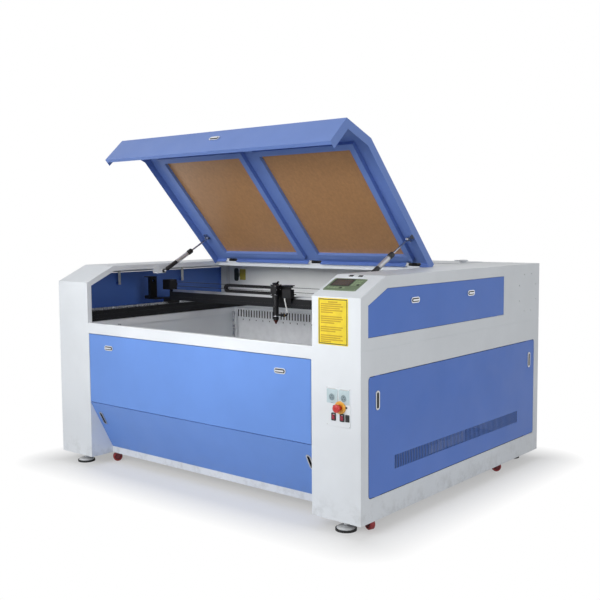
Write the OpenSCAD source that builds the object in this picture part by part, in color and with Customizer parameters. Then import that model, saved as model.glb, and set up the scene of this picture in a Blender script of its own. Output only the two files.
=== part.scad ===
// Carbon dioxide laser cutting machine: a split sheet-metal cabinet with a hinged
// window lid, a gantry on two side rails, a lifting knife-slat table and a glass
// laser tube in the rear bay.
// X runs along the front to the right, Y to the back, Z up. The origin is on the
// floor under the middle of the cabinet. The lid is drawn open.

/* [Cabinet] */
// Width of the cabinet
cab_w = 1900; // [1560:10:2400]
// Depth of the cabinet
cab_d = 1536; // [1260:8:1900]
// Height of the lower cabinet, from its bottom edge to the seam
low_h = 673; // [540:1:820]
// Height of the upper cabinet above the seam
up_h = 280; // [240:1:340]
// Height of the bottom edge above the floor
foot_gap = 50; // [44:1:80]
// Sheet thickness of the cabinet
sheet = 2; // [1.5:0.1:3]
// Run of the slanted front along the depth
slant_run = 167; // [120:1:210]
// Fall of the slanted front
slant_rise = 77; // [50:1:100]
// Width of each front pillar
pillar_w = 240; // [190:1:300]
// Width of each upper wing beside the lid
wing_w = 235; // [190:1:290]
// Height of the white band above the front door
sill_h = 47; // [36:1:60]
// Depth of the bay behind the work chamber
rear_bay = 318; // [280:1:380]

/* [Front] */
// Height of the upper edge of the sloping panel
slope_top = 282; // [220:1:340]
// How far the sloping panel runs back at its foot
slope_back = 131; // [90:1:170]
// Height of the rail under the sloping panel
rail_low_h = 32; // [24:1:45]
// Running gap round the door and the panels
door_gap = 3; // [2:0.5:5]
// Depth of the folded door and panels
pan_d = 18; // [14:1:26]

/* [Side panels] */
// Border of the lower side panel to the corner of the cabinet
side_margin = 49; // [40:1:80]
// Height of the lower side panel's foot above the bottom edge
side_low = 94; // [70:1:120]
// Height left above the lower side panel
side_high = 101; // [80:1:130]
// Corner radius of the lower side panel
side_r = 16; // [8:1:30]
// Border round the upper side panel
top_margin = 48; // [40:1:60]
// Height of the vent band
vent_h = 56; // [40:1:80]
// Pitch of the vent slots
vent_pitch = 12; // [10:1:24]

/* [Lid] */
// Angle of the lid above its closed place
lid_open = 47.2; // [30:0.1:55]
// Height of the lid's front band
band_h = 149; // [120:1:170]
// Depth of the lid's folded sides
lid_fold = 38; // [30:1:39]
// Depth of the return flange along each wing's inner edge
wing_fold = 25; // [18:1:30]
// Distance of the hinge line from the back
hinge_back = 608; // [560:1:660]
// Gap between the lid and the wings
lid_gap = 4; // [3:0.5:6]
// Margin from the lid's end to a window
win_end = 122; // [110:1:150]
// Width left between the two windows
win_mid = 140; // [110:1:180]
// Margin from the hinge line to the windows
win_back = 88; // [80:1:110]
// Margin from the front bend to the windows
win_front = 40; // [34:1:70]
// Thickness of the window panes
pane_t = 5; // [3:0.5:8]

/* [Gas struts] */
// Radius of the strut tube
strut_r = 11; // [9:0.5:13]
// Radius of the strut rod
rod_r = 4.5; // [3.5:0.5:6]
// Distance of the lid's stud from the hinge line
stud_arm = 196; // [180:1:220]
// Angle of that stud below the lid
stud_drop = 7.8; // [6:0.1:10]
// Distance from the hinge line forward to the lower stud
foot_fwd = 475; // [450:1:500]
// Distance from the top down to the lower stud
foot_down = 35; // [30:1:38]
// Distance from the wing's edge in to the strut
strut_in = 60; // [56:1:70]

/* [Work area] */
// Depth of the deck between the bed and the rear wall
rear_deck = 185; // [150:1:230]
// Thickness of the work deck
deck_t = 4; // [3:0.5:6]
// Depth of the deck's folded edge
deck_fold = 31; // [24:1:40]
// Height of the slat tips under the deck
bed_drop = 225; // [70:1:250]
// Pitch of the knife slats
slat_pitch = 48; // [36:1:64]
// Height of a knife slat
slat_h = 40; // [30:1:50]
// Thickness of a knife slat
slat_t = 4; // [2:0.5:5]
// Pitch of the exhaust slots
comb_pitch = 20.5; // [18:0.5:30]
// Radius of a lift screw
screw_r = 8; // [6:0.5:12]
// Distance of the lift screws from the front end of the table
screw_inset = 122; // [110:1:160]

/* [Motion system] */
// Width of a side rail beam
rail_w = 50; // [40:1:60]
// Height of a side rail beam
rail_h = 52; // [45:1:60]
// Height of the gantry beam
beam_h = 45; // [38:1:56]
// Depth of the gantry beam
beam_w = 74; // [70:1:90]
// Radius of the cable chain's bend, at the middle of its links
chain_r = 15; // [13:0.5:16]
// Place of the laser head along the gantry
head_x = 65; // [-200:1:300]
// Height of the laser path above the deck
path_h = 178; // [170:1:190]
// Radius of the lens tube
lens_r = 14; // [12:0.5:15]
// Radius of a belt pulley
pulley_r = 10.5; // [8:0.5:12]

/* [Laser tube] */
// Length of the glass tube
tube_len = 1450; // [1000:10:1600]
// Radius of the glass tube
tube_r = 40; // [25:1:45]
// Distance of the tube's axis from the back
tube_back = 158; // [140:1:180]

/* [Controls and floor parts] */
// Radius of the stop button's head
stop_r = 18; // [15:0.5:22]
// Radius of a levelling foot
foot_r = 43; // [30:1:50]
// Radius of a caster wheel
wheel_r = 23; // [18:0.5:23.5]
// Width of a caster wheel
wheel_w = 26; // [18:1:30]

/* [Hidden] */
$fn = 48;

fit = 0.05;      // radial clearance of a pin in its own bore
gap = 0.3;       // clearance between pieces that move past each other
weld = 0.1;      // hairline left where one sheet or tube is welded to the next
white = [0.87, 0.89, 0.91];
blue = [0.36, 0.49, 0.77];
dark = [0.1, 0.1, 0.11];
steel = [0.72, 0.73, 0.75];

// Main planes of the cabinet
hw = cab_w / 2;
hd = cab_d / 2;
yf = -hd;
zb = foot_gap;
zs = zb + low_h;
zt = zs + up_h;
zf = zt - slant_rise;
ys = yf + slant_run;
phi = atan2(slant_rise, slant_run);
slant_len = sqrt(slant_run * slant_run + slant_rise * slant_rise);
jamb = hw - pillar_w;
ow = hw - wing_w;
sill_z = zs - sill_h;

// Lid hinge line
hinge_y = hd - hinge_back;
hinge_z = zt + 7;
open_back = hinge_y - 10;
lid_x = ow - lid_gap;

// Work area
wall_y = hd - rear_bay;
bed_x = jamb - 4;
bed_front = yf + 30;
bed_back = wall_y - rear_deck;
deck_z = zs + deck_t;
slat_z = deck_z - bed_drop - 2;

// Motion system
rail_x = bed_x + 34 + rail_w / 2;
rail_y0 = yf + 40;
rail_y1 = wall_y - 34;
rail_z = deck_z + rail_h;
guide_h = 12;
guide_w = 15;
beam_z0 = rail_z + 23;
beam_z1 = beam_z0 + beam_h;
beam_x = rail_x - rail_w / 2 - 5;
head_y = (bed_front + bed_back) / 2 - 8;
beam_front = head_y + 40;
beam_y = beam_front + beam_w / 2;
guide_y = beam_front + 16;
chain_y = beam_front + 37;
x_belt_y = beam_front + 61;
path_z = deck_z + path_h;
chain_x = head_x - 397;
chain_h = 14;
chain_w = 18;
belt_z = beam_z1 + 38;
belt_t = 1.6;
mirror_x = -rail_x - 85;
shaft_y = wall_y - 22;
shaft_z = deck_z + 35;
drive_x = 259;
drive_y = shaft_y - 66;
drive_r = 14;
y_belt_x = rail_x + rail_w / 2 + 22;
x_belt_x = rail_x - 5;

// Table
ring_w = 44;
table_x = bed_x - 6;
table_y0 = bed_front + 14;
table_y1 = bed_back - 15;
screw_x = table_x - ring_w / 2;
screw_y0 = table_y0 + screw_inset;
screw_y1 = table_y1 - ring_w / 2;
lift_r = 18.4;

// Struts, in the plane beside the lid's fold
strut_x = ow - strut_in;
low_y = hinge_y - foot_fwd;
low_z = zt - foot_down;
top_y = hinge_y - stud_arm * cos(lid_open - stud_drop);
top_z = hinge_z + stud_arm * sin(lid_open - stud_drop);
strut_a = atan2(top_z - low_z, top_y - low_y);
strut_len = sqrt(pow(top_y - low_y, 2) + pow(top_z - low_z, 2));
tube_end = 222;

// Control plate on the right pillar
plate_x0 = hw - 164;
plate_x1 = hw - 46;
plate_z0 = zs - 298;
plate_z1 = zs - 144;
stop_x = hw - 93;
stop_z = zs - 221;
rocker_z = zs - 260;
rocker_tilt = 8;

// Frame under the cabinet
frame_z = zb + 26;
frame_w = 50;
frame_h = 40;
foot_x = hw - 115;
foot_y = hd - 59;
toe_y = yf + slope_back;
cross_y = toe_y + pan_d + 42;
lift_z = frame_z + frame_h + 4;

// Casters: x, y and the angle that each has swivelled to
trail = 16;
caster_x = [-jamb + 15, hw - 56, -jamb + 15, hw - 56];
caster_y = [cross_y - 22, yf + 122, 1170 - hd, 1170 - hd];
caster_a = [150, -110, 40, -40];

// Sheet windows and covers
door_z0 = zb + slope_top + 2;
door_z1 = sill_z - door_gap;
pivot_in = 6;
latch_x = jamb - 160;
door_latch_z = sill_z - 62;
lid_latch_z = zf - 62;
cover_x = ow - 75;
cover_y0 = wall_y + 22;
cover_y1 = hd - 20;
cover_hinge_y = cover_y1 + 4;
cover_hinge_z = zt + 4;
cover_hinges = [-cover_x + 140, cover_x - 140];
lock_y = [yf + 372, yf + 830];
lock_z = zt - 107;
hinge_x = lid_x - 110;
duct_x = 260;
duct_z = zs - 140;
duct_r = 73;
duct_out = 50;

// ---------- shared shapes ----------

module box(x0, x1, y0, y1, z0, z1) {
    translate([x0, y0, z0]) cube([x1 - x0, y1 - y0, z1 - z0]);
}

// Turns a drawing in the Y-Z plane into a solid from x0 to x1
module along_x(x0, x1) {
    translate([x0, 0, 0]) rotate([90, 0, 90]) linear_extrude(x1 - x0) children();
}

module both_sides() {
    children();
    mirror([1, 0, 0]) children();
}

// Side outline of the upper cabinet, set in by d and standing on z0
module side_outline(d, z0) {
    polygon([[yf + d, z0],
        [yf + d, zf - d * (1 - sin(phi)) / cos(phi)],
        [ys + d * (1 - cos(phi)) / sin(phi), zt - d],
        [hd - d, zt - d],
        [hd - d, z0]]);
}

// The strip of that outline between two insets, in front of y1
module side_strip(d0, d1, y1) {
    intersection() {
        difference() {
            side_outline(d0, zs);
            side_outline(d1, zs - 1);
        }
        translate([yf - 1, deck_z]) square([y1 - yf + 1, zt - deck_z + 1]);
    }
}

module round_rect(w, h, r) {
    union() {
        translate([-w / 2 + r, -h / 2]) square([w - 2 * r, h]);
        translate([-w / 2, -h / 2 + r]) square([w, h - 2 * r]);
        for (x = [-1, 1], y = [-1, 1])
            translate([x * (w / 2 - r), y * (h / 2 - r)]) circle(r);
    }
}

// Places children on the slanted front: y runs up the slope and z stands off it
module on_slant() {
    translate([0, yf, zf]) rotate([phi, 0, 0]) children();
}

// Places children drawn on the closed lid where the open lid has them
module lid_pose() {
    translate([0, hinge_y, hinge_z]) rotate([-lid_open, 0, 0])
        translate([0, -hinge_y, -hinge_z]) children();
}

// Oval turning latch: its handle stands off z = 0, and its cam, turned by turn
// degrees from the handle, is behind the sheet
module latch(depth, cam, turn) {
    oval_w = 62;
    oval_h = 24;
    shaft_r = 8;
    difference() {
        linear_extrude(6) round_rect(oval_w, oval_h, oval_h / 2 - 0.5);
        translate([0, 0, 3]) linear_extrude(4) round_rect(oval_w - 8, oval_h - 8, 7.5);
    }
    linear_extrude(9) round_rect(oval_w - 16, 7, 3);
    translate([0, 0, -depth]) cylinder(r = shaft_r, h = depth + 1);
    rotate([0, 0, turn]) translate([-8, -8, -depth - 3]) cube([cam, 16, 3]);
}

pull_w = 26;
pull_len = 76;

// Outline of the hole that a flush pull sits in, grown by d
module pull_outline(d) {
    round_rect(pull_w - 8 + 2 * d, pull_len - 8 + 2 * d, 8 + d);
}

// Flush pull of a lift-off panel: a cup with a raised rim that laps the sheet
module flush_pull() {
    cup = 13;
    difference() {
        union() {
            translate([0, 0, 0.1]) linear_extrude(2.9) round_rect(pull_w, pull_len, 12);
            translate([0, 0, -cup]) linear_extrude(cup + 1) pull_outline(0);
        }
        translate([0, 0, -cup + 2]) linear_extrude(cup + 2)
            round_rect(pull_w - 13, pull_len - 13, 6);
    }
}

// ---------- lower cabinet ----------

module tube_x(x0, x1, y, z, w, h) {
    difference() {
        box(x0, x1, y - w / 2, y + w / 2, z, z + h);
        box(x0 - 1, x1 + 1, y - w / 2 + 3, y + w / 2 - 3, z + 3, z + h - 3);
    }
}

module tube_y(x, y0, y1, z, w, h) {
    difference() {
        box(x - w / 2, x + w / 2, y0, y1, z, z + h);
        box(x - w / 2 + 3, x + w / 2 - 3, y0 - 1, y1 + 1, z + 3, z + h - 3);
    }
}

// Welded tube frame: cross tubes, tubes along the sides, and pads for the casters
module base_frame() {
    side_x = hw - 45;
    inner_x = jamb - 20;
    ends = frame_w / 2 + weld;
    color(dark) difference() {
        union() {
            both_sides() {
                tube_x(jamb + sheet + 1, hw - sheet - 1, -foot_y, frame_z, frame_w, frame_h);
                tube_y(side_x, -foot_y + ends, foot_y - ends, frame_z, frame_w, frame_h);
                tube_y(inner_x, cross_y + ends, foot_y - ends, frame_z, frame_w, frame_h);
            }
            tube_x(-side_x + ends, side_x - ends, cross_y, frame_z, frame_w, frame_h);
            tube_x(-hw + sheet + 1, hw - sheet - 1, foot_y, frame_z, frame_w, frame_h);
            tube_y(0, cross_y + ends, foot_y - ends, frame_z, frame_w, frame_h);
            for (i = [0:3]) translate([caster_x[i], caster_y[i], frame_z - 4]) {
                translate([-26, -26, 0]) cube([52, 52, 4.5]);
                translate([0, 0, -10]) cylinder(r = 5, h = 11);
            }
        }
        for (x = [-1, 1], y = [-1, 1])
            translate([x * foot_x, y * foot_y, frame_z - 1])
                cylinder(r = 8, h = frame_h / 2);
    }
}

// White shell welded from flat sheets, with stiffening strips inside its edges, two
// pillars, a sill, side openings and a toe recess
module lower_cabinet() {
    strip = 26;
    plate_x = duct_r + 27;
    x1 = hw - sheet - weld;
    y0 = yf + sheet + weld;
    y1 = hd - sheet - weld;
    top = zs - sheet - weld;
    color(white) difference() {
        union() {
            both_sides() {
                // side, front pillar, and the wall between the bay and the middle
                box(hw - sheet, hw, -hd, hd, zb, zs);
                box(jamb, x1, yf, yf + sheet, zb, zs);
                box(jamb, jamb + sheet, y0, toe_y + 12, zb, top);
                box(jamb, jamb + sheet, toe_y + 11, wall_y, frame_z + frame_h, top);
                // strips
                box(jamb + sheet + weld, x1, y0, yf + strip, zb, zb + sheet);
                for (z = [zb, zs - sheet])
                    box(hw - strip, x1, yf + strip + weld, hd - strip - weld, z, z + sheet);
            }
            box(-x1, x1, hd - sheet, hd, zb, zs);
            for (z = [zb, zs - sheet]) box(-x1, x1, hd - strip, y1, z, z + sheet);
            box(-x1, x1, y0, yf + strip, zs - sheet, zs);
            // folded sill and toe rail
            box(-jamb + weld, jamb - weld, yf, yf + sheet, sill_z, zs);
            box(-jamb + weld, jamb - weld, yf + 1, yf + strip, sill_z, sill_z + sheet);
            box(-jamb + weld, jamb - weld, toe_y, toe_y + sheet, zb, zb + rail_low_h);
            for (z = [zb, zb + rail_low_h - sheet])
                box(-jamb + weld, jamb - weld, toe_y + 1, toe_y + 12, z, z + sheet);
        }
        // openings for the lower side panels
        side_w = cab_d - 2 * side_margin;
        side_z = zb + side_low;
        side_t = low_h - side_low - side_high;
        both_sides()
            translate([hw - sheet - 2, 0, side_z + side_t / 2]) rotate([90, 0, 90])
                linear_extrude(sheet + 4) round_rect(side_w, side_t, side_r);
        // holes for the pivots of the front door
        translate([-jamb - 5, yf + pivot_in, door_z0 + pivot_in]) rotate([0, 90, 0])
            cylinder(r = 3 + fit, h = 2 * jamb + 10);
        // openings for the rear panels and the two exhaust spigots
        both_sides() {
            box(40, jamb - 30, hd - sheet - 2, hd + 1, zb + 90, zb + 400);
            translate([duct_x, hd + 1, duct_z]) rotate([90, 0, 0])
                cylinder(r = duct_r + 3, h = sheet + 4);
        }
        // welds: each side wall from four strips and its opening's corners, the back wall
        // from strips, posts and a split plate round each duct
        both_sides() {
            for (z = [side_z, side_z + side_t])
                box(hw - sheet - weld / 2, hw + 1, -hd - 1, hd + 1, z - weld / 2, z + weld / 2);
            for (y = [-side_w / 2, side_w / 2])
                box(hw - sheet - weld / 2, hw + 1, y - weld / 2, y + weld / 2, side_z,
                    side_z + side_t);
            for (x = [duct_x - plate_x, duct_x + plate_x])
                box(x - weld / 2, x + weld / 2, hd - sheet - weld / 2, hd + 1, zb + 400, zs + 1);
            box(duct_x - plate_x, duct_x + plate_x, hd - sheet - weld / 2, hd + 1,
                duct_z - weld / 2, duct_z + weld / 2);
        }
        for (z = [zb + 90, zb + 400])
            box(-hw + sheet, hw - sheet, hd - sheet - weld / 2, hd + 1, z - weld / 2,
                z + weld / 2);
        // groove of the seam
        difference() {
            box(-hw - 1, hw + 1, -hd - 1, hd + 1, zs - 1.5, zs + 1);
            box(-hw + sheet * 0.6, hw - sheet * 0.6, -hd + sheet * 0.6, hd - sheet * 0.6,
                zs - 2, zs + 2);
        }
    }
}

module rear_panels() {
    w = jamb - 70;
    color(white) both_sides() difference() {
        union() {
            box(30, 50 + w, hd, hd + sheet, zb + 80, zb + 410);
            for (i = [0:4])
                translate([40 + w / 2, hd + sheet, zb + 150 + 28 * i]) rotate([90, 0, 90])
                    translate([0, 0, -w / 3]) linear_extrude(2 * w / 3)
                        polygon([[-0.5, 0], [8, 0], [-0.5, 14]]);
        }
        for (i = [0:4])
            box(40 + w / 6, 40 + 5 * w / 6 - 0, hd - 1, hd + sheet + 4, zb + 147 + 28 * i,
                zb + 150 + 28 * i);
    }
}

// Outer faces of the lower side panels, drawn at the right side
module side_panel_sheet() {
    w = cab_d - 2 * side_margin - 2 * door_gap;
    h = low_h - side_low - side_high - 2 * door_gap;
    zc = zb + side_low + (low_h - side_low - side_high) / 2;
    vent_w = w * 0.756;
    slots = floor(vent_w / vent_pitch);
    vent_z = zb + side_low + 84 + vent_h / 2;
    difference() {
        translate([hw - pan_d, 0, zc]) rotate([90, 0, 90])
            linear_extrude(pan_d) round_rect(w, h, side_r - door_gap);
        translate([hw - pan_d - 1, 0, zc]) rotate([90, 0, 90])
            linear_extrude(pan_d + 1 - sheet)
                round_rect(w - 2 * sheet, h - 2 * sheet, side_r - door_gap - sheet);
        for (i = [0:slots - 1])
            translate([hw - sheet - 1, (i - (slots - 1) / 2) * vent_pitch - vent_pitch * 0.3,
                vent_z - vent_h / 2])
                cube([sheet + 2, vent_pitch * 0.6, vent_h]);
    }
    // clips that carry the sheet on the edge of its opening
    for (y = [-1, 1], z = [-1, 1])
        box(hw - sheet - 3, hw - sheet, y * (w / 2 - 60) - 20, y * (w / 2 - 60) + 20,
            zc + z * (h / 2 + 4) - 6, zc + z * (h / 2 + 4) + 6);
}

module lower_side_panels() {
    pull_y = hd - side_margin - 60;
    pull_z = zs - side_high - 98;
    both_sides() {
        color(blue) difference() {
            side_panel_sheet();
            for (y = [-pull_y, pull_y])
                translate([hw - 4, y, pull_z]) rotate([90, 0, 90])
                    linear_extrude(8) pull_outline(gap);
        }
        color(steel) for (y = [-pull_y, pull_y])
            translate([hw, y, pull_z]) rotate([90, 0, 90]) flush_pull();
    }
}

// Outline of the upper side panel, d inside its opening
module upper_panel_outline(d) {
    m = top_margin + d;
    back = wall_y - 64;
    polygon([[yf + m, zs + m],
        [yf + m, zf - m * (1 - sin(phi)) / cos(phi)],
        [ys + m * (1 - cos(phi)) / sin(phi), zt - m],
        [back - d, zt - m],
        [back - d, zs + m]]);
}

module upper_side_panels() {
    both_sides() {
        color(blue) difference() {
            union() {
                difference() {
                    along_x(hw - pan_d, hw - 0.5) upper_panel_outline(1.5);
                    along_x(hw - pan_d - 1, hw - 0.5 - sheet) upper_panel_outline(1.5 + sheet);
                }
                for (y = [yf + 200, wall_y - 150])
                    box(hw - sheet - 3, hw - sheet, y - 20, y + 20, zs + top_margin - 10,
                        zs + top_margin + 2.5);
            }
            for (y = lock_y)
                translate([hw - 4, y, lock_z]) rotate([0, 90, 0])
                    cylinder(r = 8 + fit, h = 8);
        }
        color(steel) for (y = lock_y)
            translate([hw - 0.4, y, lock_z]) rotate([90, 0, 90]) latch(20, 84, 90);
    }
}

// Side outline of the sloping panel, set in by d
module slope_outline(d) {
    z0 = zb + rail_low_h + gap + d;
    z1 = zb + slope_top - 1 - d;
    lean = slope_back / (slope_top - rail_low_h);
    y0 = yf + (slope_top + zb - z0) * lean + d * 1.1;
    y1 = yf + (slope_top + zb - z1) * lean + d * 1.1;
    deep = pan_d + 2 - 2.2 * d;
    polygon([[y0, z0], [y1, z1], [y1 + deep, z1], [y0 + deep, z0]]);
}

// Places children on the sloping face at height z, with z standing off it
module on_slope(x, z) {
    slope_a = atan2(slope_back, slope_top - rail_low_h);
    y = yf + (slope_top + zb - z) * slope_back / (slope_top - rail_low_h);
    translate([x, y, z]) rotate([slope_a + 90, 0, 0]) children();
}

// Sloping panel under the front door, lifted off by its two flush pulls
module lower_front_panel() {
    pull_x = jamb - 42;
    pull_z = zb + slope_top - 84;
    difference() {
        color(blue) difference() {
            along_x(-jamb + gap, jamb - gap) slope_outline(0);
            along_x(-jamb + gap + sheet, jamb - gap - sheet)
                union() {
                    slope_outline(sheet);
                    translate([20, 0]) slope_outline(sheet);
                }
        }
        for (x = [-pull_x, pull_x])
            on_slope(x, pull_z) translate([0, 0, -6]) linear_extrude(9) pull_outline(gap);
    }
    color(steel) for (x = [-pull_x, pull_x]) on_slope(x, pull_z) flush_pull();
}

// Folded door on two pivots at the foot of its sides
module front_door() {
    color(blue) difference() {
        union() {
            difference() {
                box(-jamb + door_gap, jamb - door_gap, yf, yf + pan_d, door_z0, door_z1);
                box(-jamb + door_gap + sheet, jamb - door_gap - sheet, yf + sheet,
                    yf + pan_d + 1, door_z0 + sheet, door_z1 - sheet);
            }
            both_sides() translate([jamb - door_gap - sheet, yf + pivot_in,
                door_z0 + pivot_in]) rotate([0, 90, 0])
                    cylinder(r = 3, h = door_gap + 2 * sheet + 1);
        }
        for (x = [-latch_x, latch_x])
            translate([x, yf + pan_d, door_latch_z]) rotate([90, 0, 0])
                cylinder(r = 8 + fit, h = pan_d + 2);
    }
}

module door_latch(x) {
    color(steel) translate([x, yf - gap, door_latch_z]) rotate([90, 0, 0])
        latch(27, 84, x < 0 ? 0 : 180);
}

tray_x = jamb - 80;
tray_y0 = cross_y - 10;
tray_y1 = screw_y1 - 48;
tray_z = frame_z + frame_h;

// Shallow tray that catches what falls through the slats
module scrap_tray() {
    color(white) difference() {
        box(-tray_x, tray_x, tray_y0, tray_y1, tray_z, tray_z + 60);
        box(-tray_x + sheet, tray_x - sheet, tray_y0 + sheet, tray_y1 - sheet,
            tray_z + sheet, tray_z + 61);
    }
}

module levelling_feet() {
    color(steel) for (x = [-1, 1], y = [-1, 1])
        translate([x * foot_x, y * foot_y, 0]) {
            // rubber ring
            difference() {
                cylinder(r = foot_r, h = 9);
                translate([0, 0, 3]) cylinder(r = foot_r - 5, h = 7);
            }
            // domed disc
            translate([0, 0, 3]) rotate_extrude()
                polygon([[0, 0], [foot_r - 5, 0], [foot_r - 5, 8], [foot_r - 11, 13],
                    [14, 19], [0, 19]]);
            translate([0, 0, 22]) cylinder(r = 8, h = frame_z + 18 - 22);
            translate([0, 0, frame_z - 13]) cylinder(r = 14, h = 13, $fn = 6);
        }
}

axle_z = wheel_r + 2;
crown_z = frame_z - 13;

// Swivel fork, bored for the pin under the frame
module caster_fork(i) {
    crown_low = axle_z + wheel_r + 2.5;
    color(dark) translate([caster_x[i], caster_y[i], 0]) rotate([0, 0, caster_a[i]])
        difference() {
            union() {
                translate([0, 0, crown_z]) cylinder(r = 18, h = 8.7);
                for (s = [-1, 1])
                    translate([s * (wheel_w / 2 + 3) - 2, 0, 0]) rotate([90, 0, 90])
                        linear_extrude(4) union() {
                            translate([trail, axle_z]) circle(8);
                            polygon([[-14, crown_z], [14, crown_z], [trail + 8, axle_z],
                                [trail - 7, axle_z - 3]]);
                        }
                translate([-wheel_w / 2 - 5, -14, crown_low])
                    cube([wheel_w + 10, 28, crown_z + 1 - crown_low]);
                translate([-wheel_w / 2 - 4, trail, axle_z]) rotate([0, 90, 0])
                    cylinder(r = 4, h = wheel_w + 8);
            }
            translate([0, 0, crown_z - 20]) cylinder(r = 5 + fit, h = 40);
        }
}

module caster_wheel(i) {
    color("firebrick") translate([caster_x[i], caster_y[i], 0]) rotate([0, 0, caster_a[i]])
        translate([0, trail, axle_z]) rotate([0, 90, 0]) translate([0, 0, -wheel_w / 2])
            rotate_extrude()
                polygon([[4 + fit, 0], [8, 0], [8, 3], [wheel_r - 8, 3], [wheel_r - 8, 1],
                    [wheel_r - 3, 1], [wheel_r, 4], [wheel_r, wheel_w - 4],
                    [wheel_r - 3, wheel_w - 1], [wheel_r - 8, wheel_w - 1],
                    [wheel_r - 8, wheel_w - 3], [8, wheel_w - 3], [8, wheel_w],
                    [4 + fit, wheel_w]]);
}

// ---------- upper cabinet ----------

module upper_cabinet() {
    color(white) difference() {
        union() {
            difference() {
                along_x(-hw, hw) side_outline(0, zs);
                along_x(-hw + sheet, hw - sheet) side_outline(sheet, zs - 1);
                box(-ow, ow, yf - 1, open_back, zs - 1, zt + 1);
            }
            // return flange along the inner edge of each wing
            both_sides() along_x(ow, ow + sheet) side_strip(0, wing_fold, open_back + 1);
            box(-ow - sheet / 2, ow + sheet / 2, open_back, open_back + sheet, zt - wing_fold,
                zt);
        }
        // openings for the upper side panels
        both_sides() along_x(hw - sheet - 1, hw + 1) upper_panel_outline(0);
        // opening of the rear bay
        box(-cover_x + 12, cover_x - 12, cover_y0 + 12, cover_y1 - 12, zt - 5, zt + 1);
        // opening for the controller
        on_slant() translate([ctrl_x0 + 6, ctrl_s0 + 6, -20])
            cube([ctrl_x1 - ctrl_x0 - 12, ctrl_s1 - ctrl_s0 - 12, 30]);
        // eight bolt holes for a tube extension box
        both_sides() for (a = [22.5:45:359])
            translate([hw + 1, hd - 129 + 98 * cos(a), zt - 140 + 98 * sin(a)])
                rotate([0, -90, 0]) cylinder(r = 3.2, h = sheet + 2, $fn = 24);
        // groove of the seam
        difference() {
            box(-hw - 1, hw + 1, -hd - 1, hd + 1, zs - 1, zs + 1.5);
            box(-hw + sheet * 0.6, hw - sheet * 0.6, -hd + sheet * 0.6, hd - sheet * 0.6,
                zs - 2, zs + 2);
        }
    }
}

// Lid over the laser tube bay, with its hinge knuckles and a round pull
module tube_cover() {
    pull_x = cover_x - 40;
    pull_y = hd - 148;
    color(white) {
        for (x = cover_hinges) difference() {
            union() {
                translate([x - 15, cover_hinge_y, cover_hinge_z]) rotate([0, 90, 0])
                    cylinder(r = 3.5, h = 30);
                box(x - 15, x + 15, cover_y1 - 16, cover_hinge_y, zt + gap, zt + gap + sheet);
            }
            translate([x - 16, cover_hinge_y, cover_hinge_z]) rotate([0, 90, 0])
                cylinder(r = 2 + fit, h = 32);
        }
        box(-cover_x, cover_x, cover_y0, cover_y1, zt + gap, zt + gap + sheet);
        difference() {
            box(-cover_x + 16, cover_x - 16, cover_y0 + 16, cover_y1 - 16, zt - 12,
                zt + gap + sheet / 2);
            box(-cover_x + 18, cover_x - 18, cover_y0 + 18, cover_y1 - 18, zt - 13,
                zt + gap);
        }
        translate([pull_x, pull_y, zt + gap + sheet]) rotate_extrude()
            polygon([[0, -1], [15, -1], [15, 3], [24, 6], [24, 10], [18, 13], [0, 14]]);
    }
}

// Deck plate, and the strips welded under the edge of its opening
module work_deck() {
    low = deck_z - deck_fold;
    color(white) {
        difference() {
            box(-hw + sheet + 1, hw - sheet - 1, yf + sheet + 1, hd - sheet - 1, zs, deck_z);
            box(-bed_x, bed_x, bed_front, bed_back, zs - 1, deck_z + 1);
        }
        both_sides()
            box(bed_x, bed_x + sheet, bed_front - sheet, bed_back + sheet, low, zs - weld);
        box(-bed_x + weld, bed_x - weld, bed_front - sheet, bed_front, low, zs - weld);
    }
}

// Upright wall between the work chamber and the tube bay, with the laser port
module chamber_rear_wall() {
    color([0.62, 0.63, 0.63]) difference() {
        union() {
            box(-hw + sheet, hw - sheet, wall_y, wall_y + sheet, deck_z, zt - sheet);
            box(-hw + sheet, hw - sheet, wall_y, wall_y + 20, deck_z, deck_z + sheet);
            box(-hw + sheet, hw - sheet, wall_y, wall_y + 20, zt - 2 * sheet, zt - sheet);
        }
        translate([mirror_x, wall_y - 1, path_z]) rotate([-90, 0, 0])
            cylinder(r = 14, h = sheet + 2);
    }
}

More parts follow.
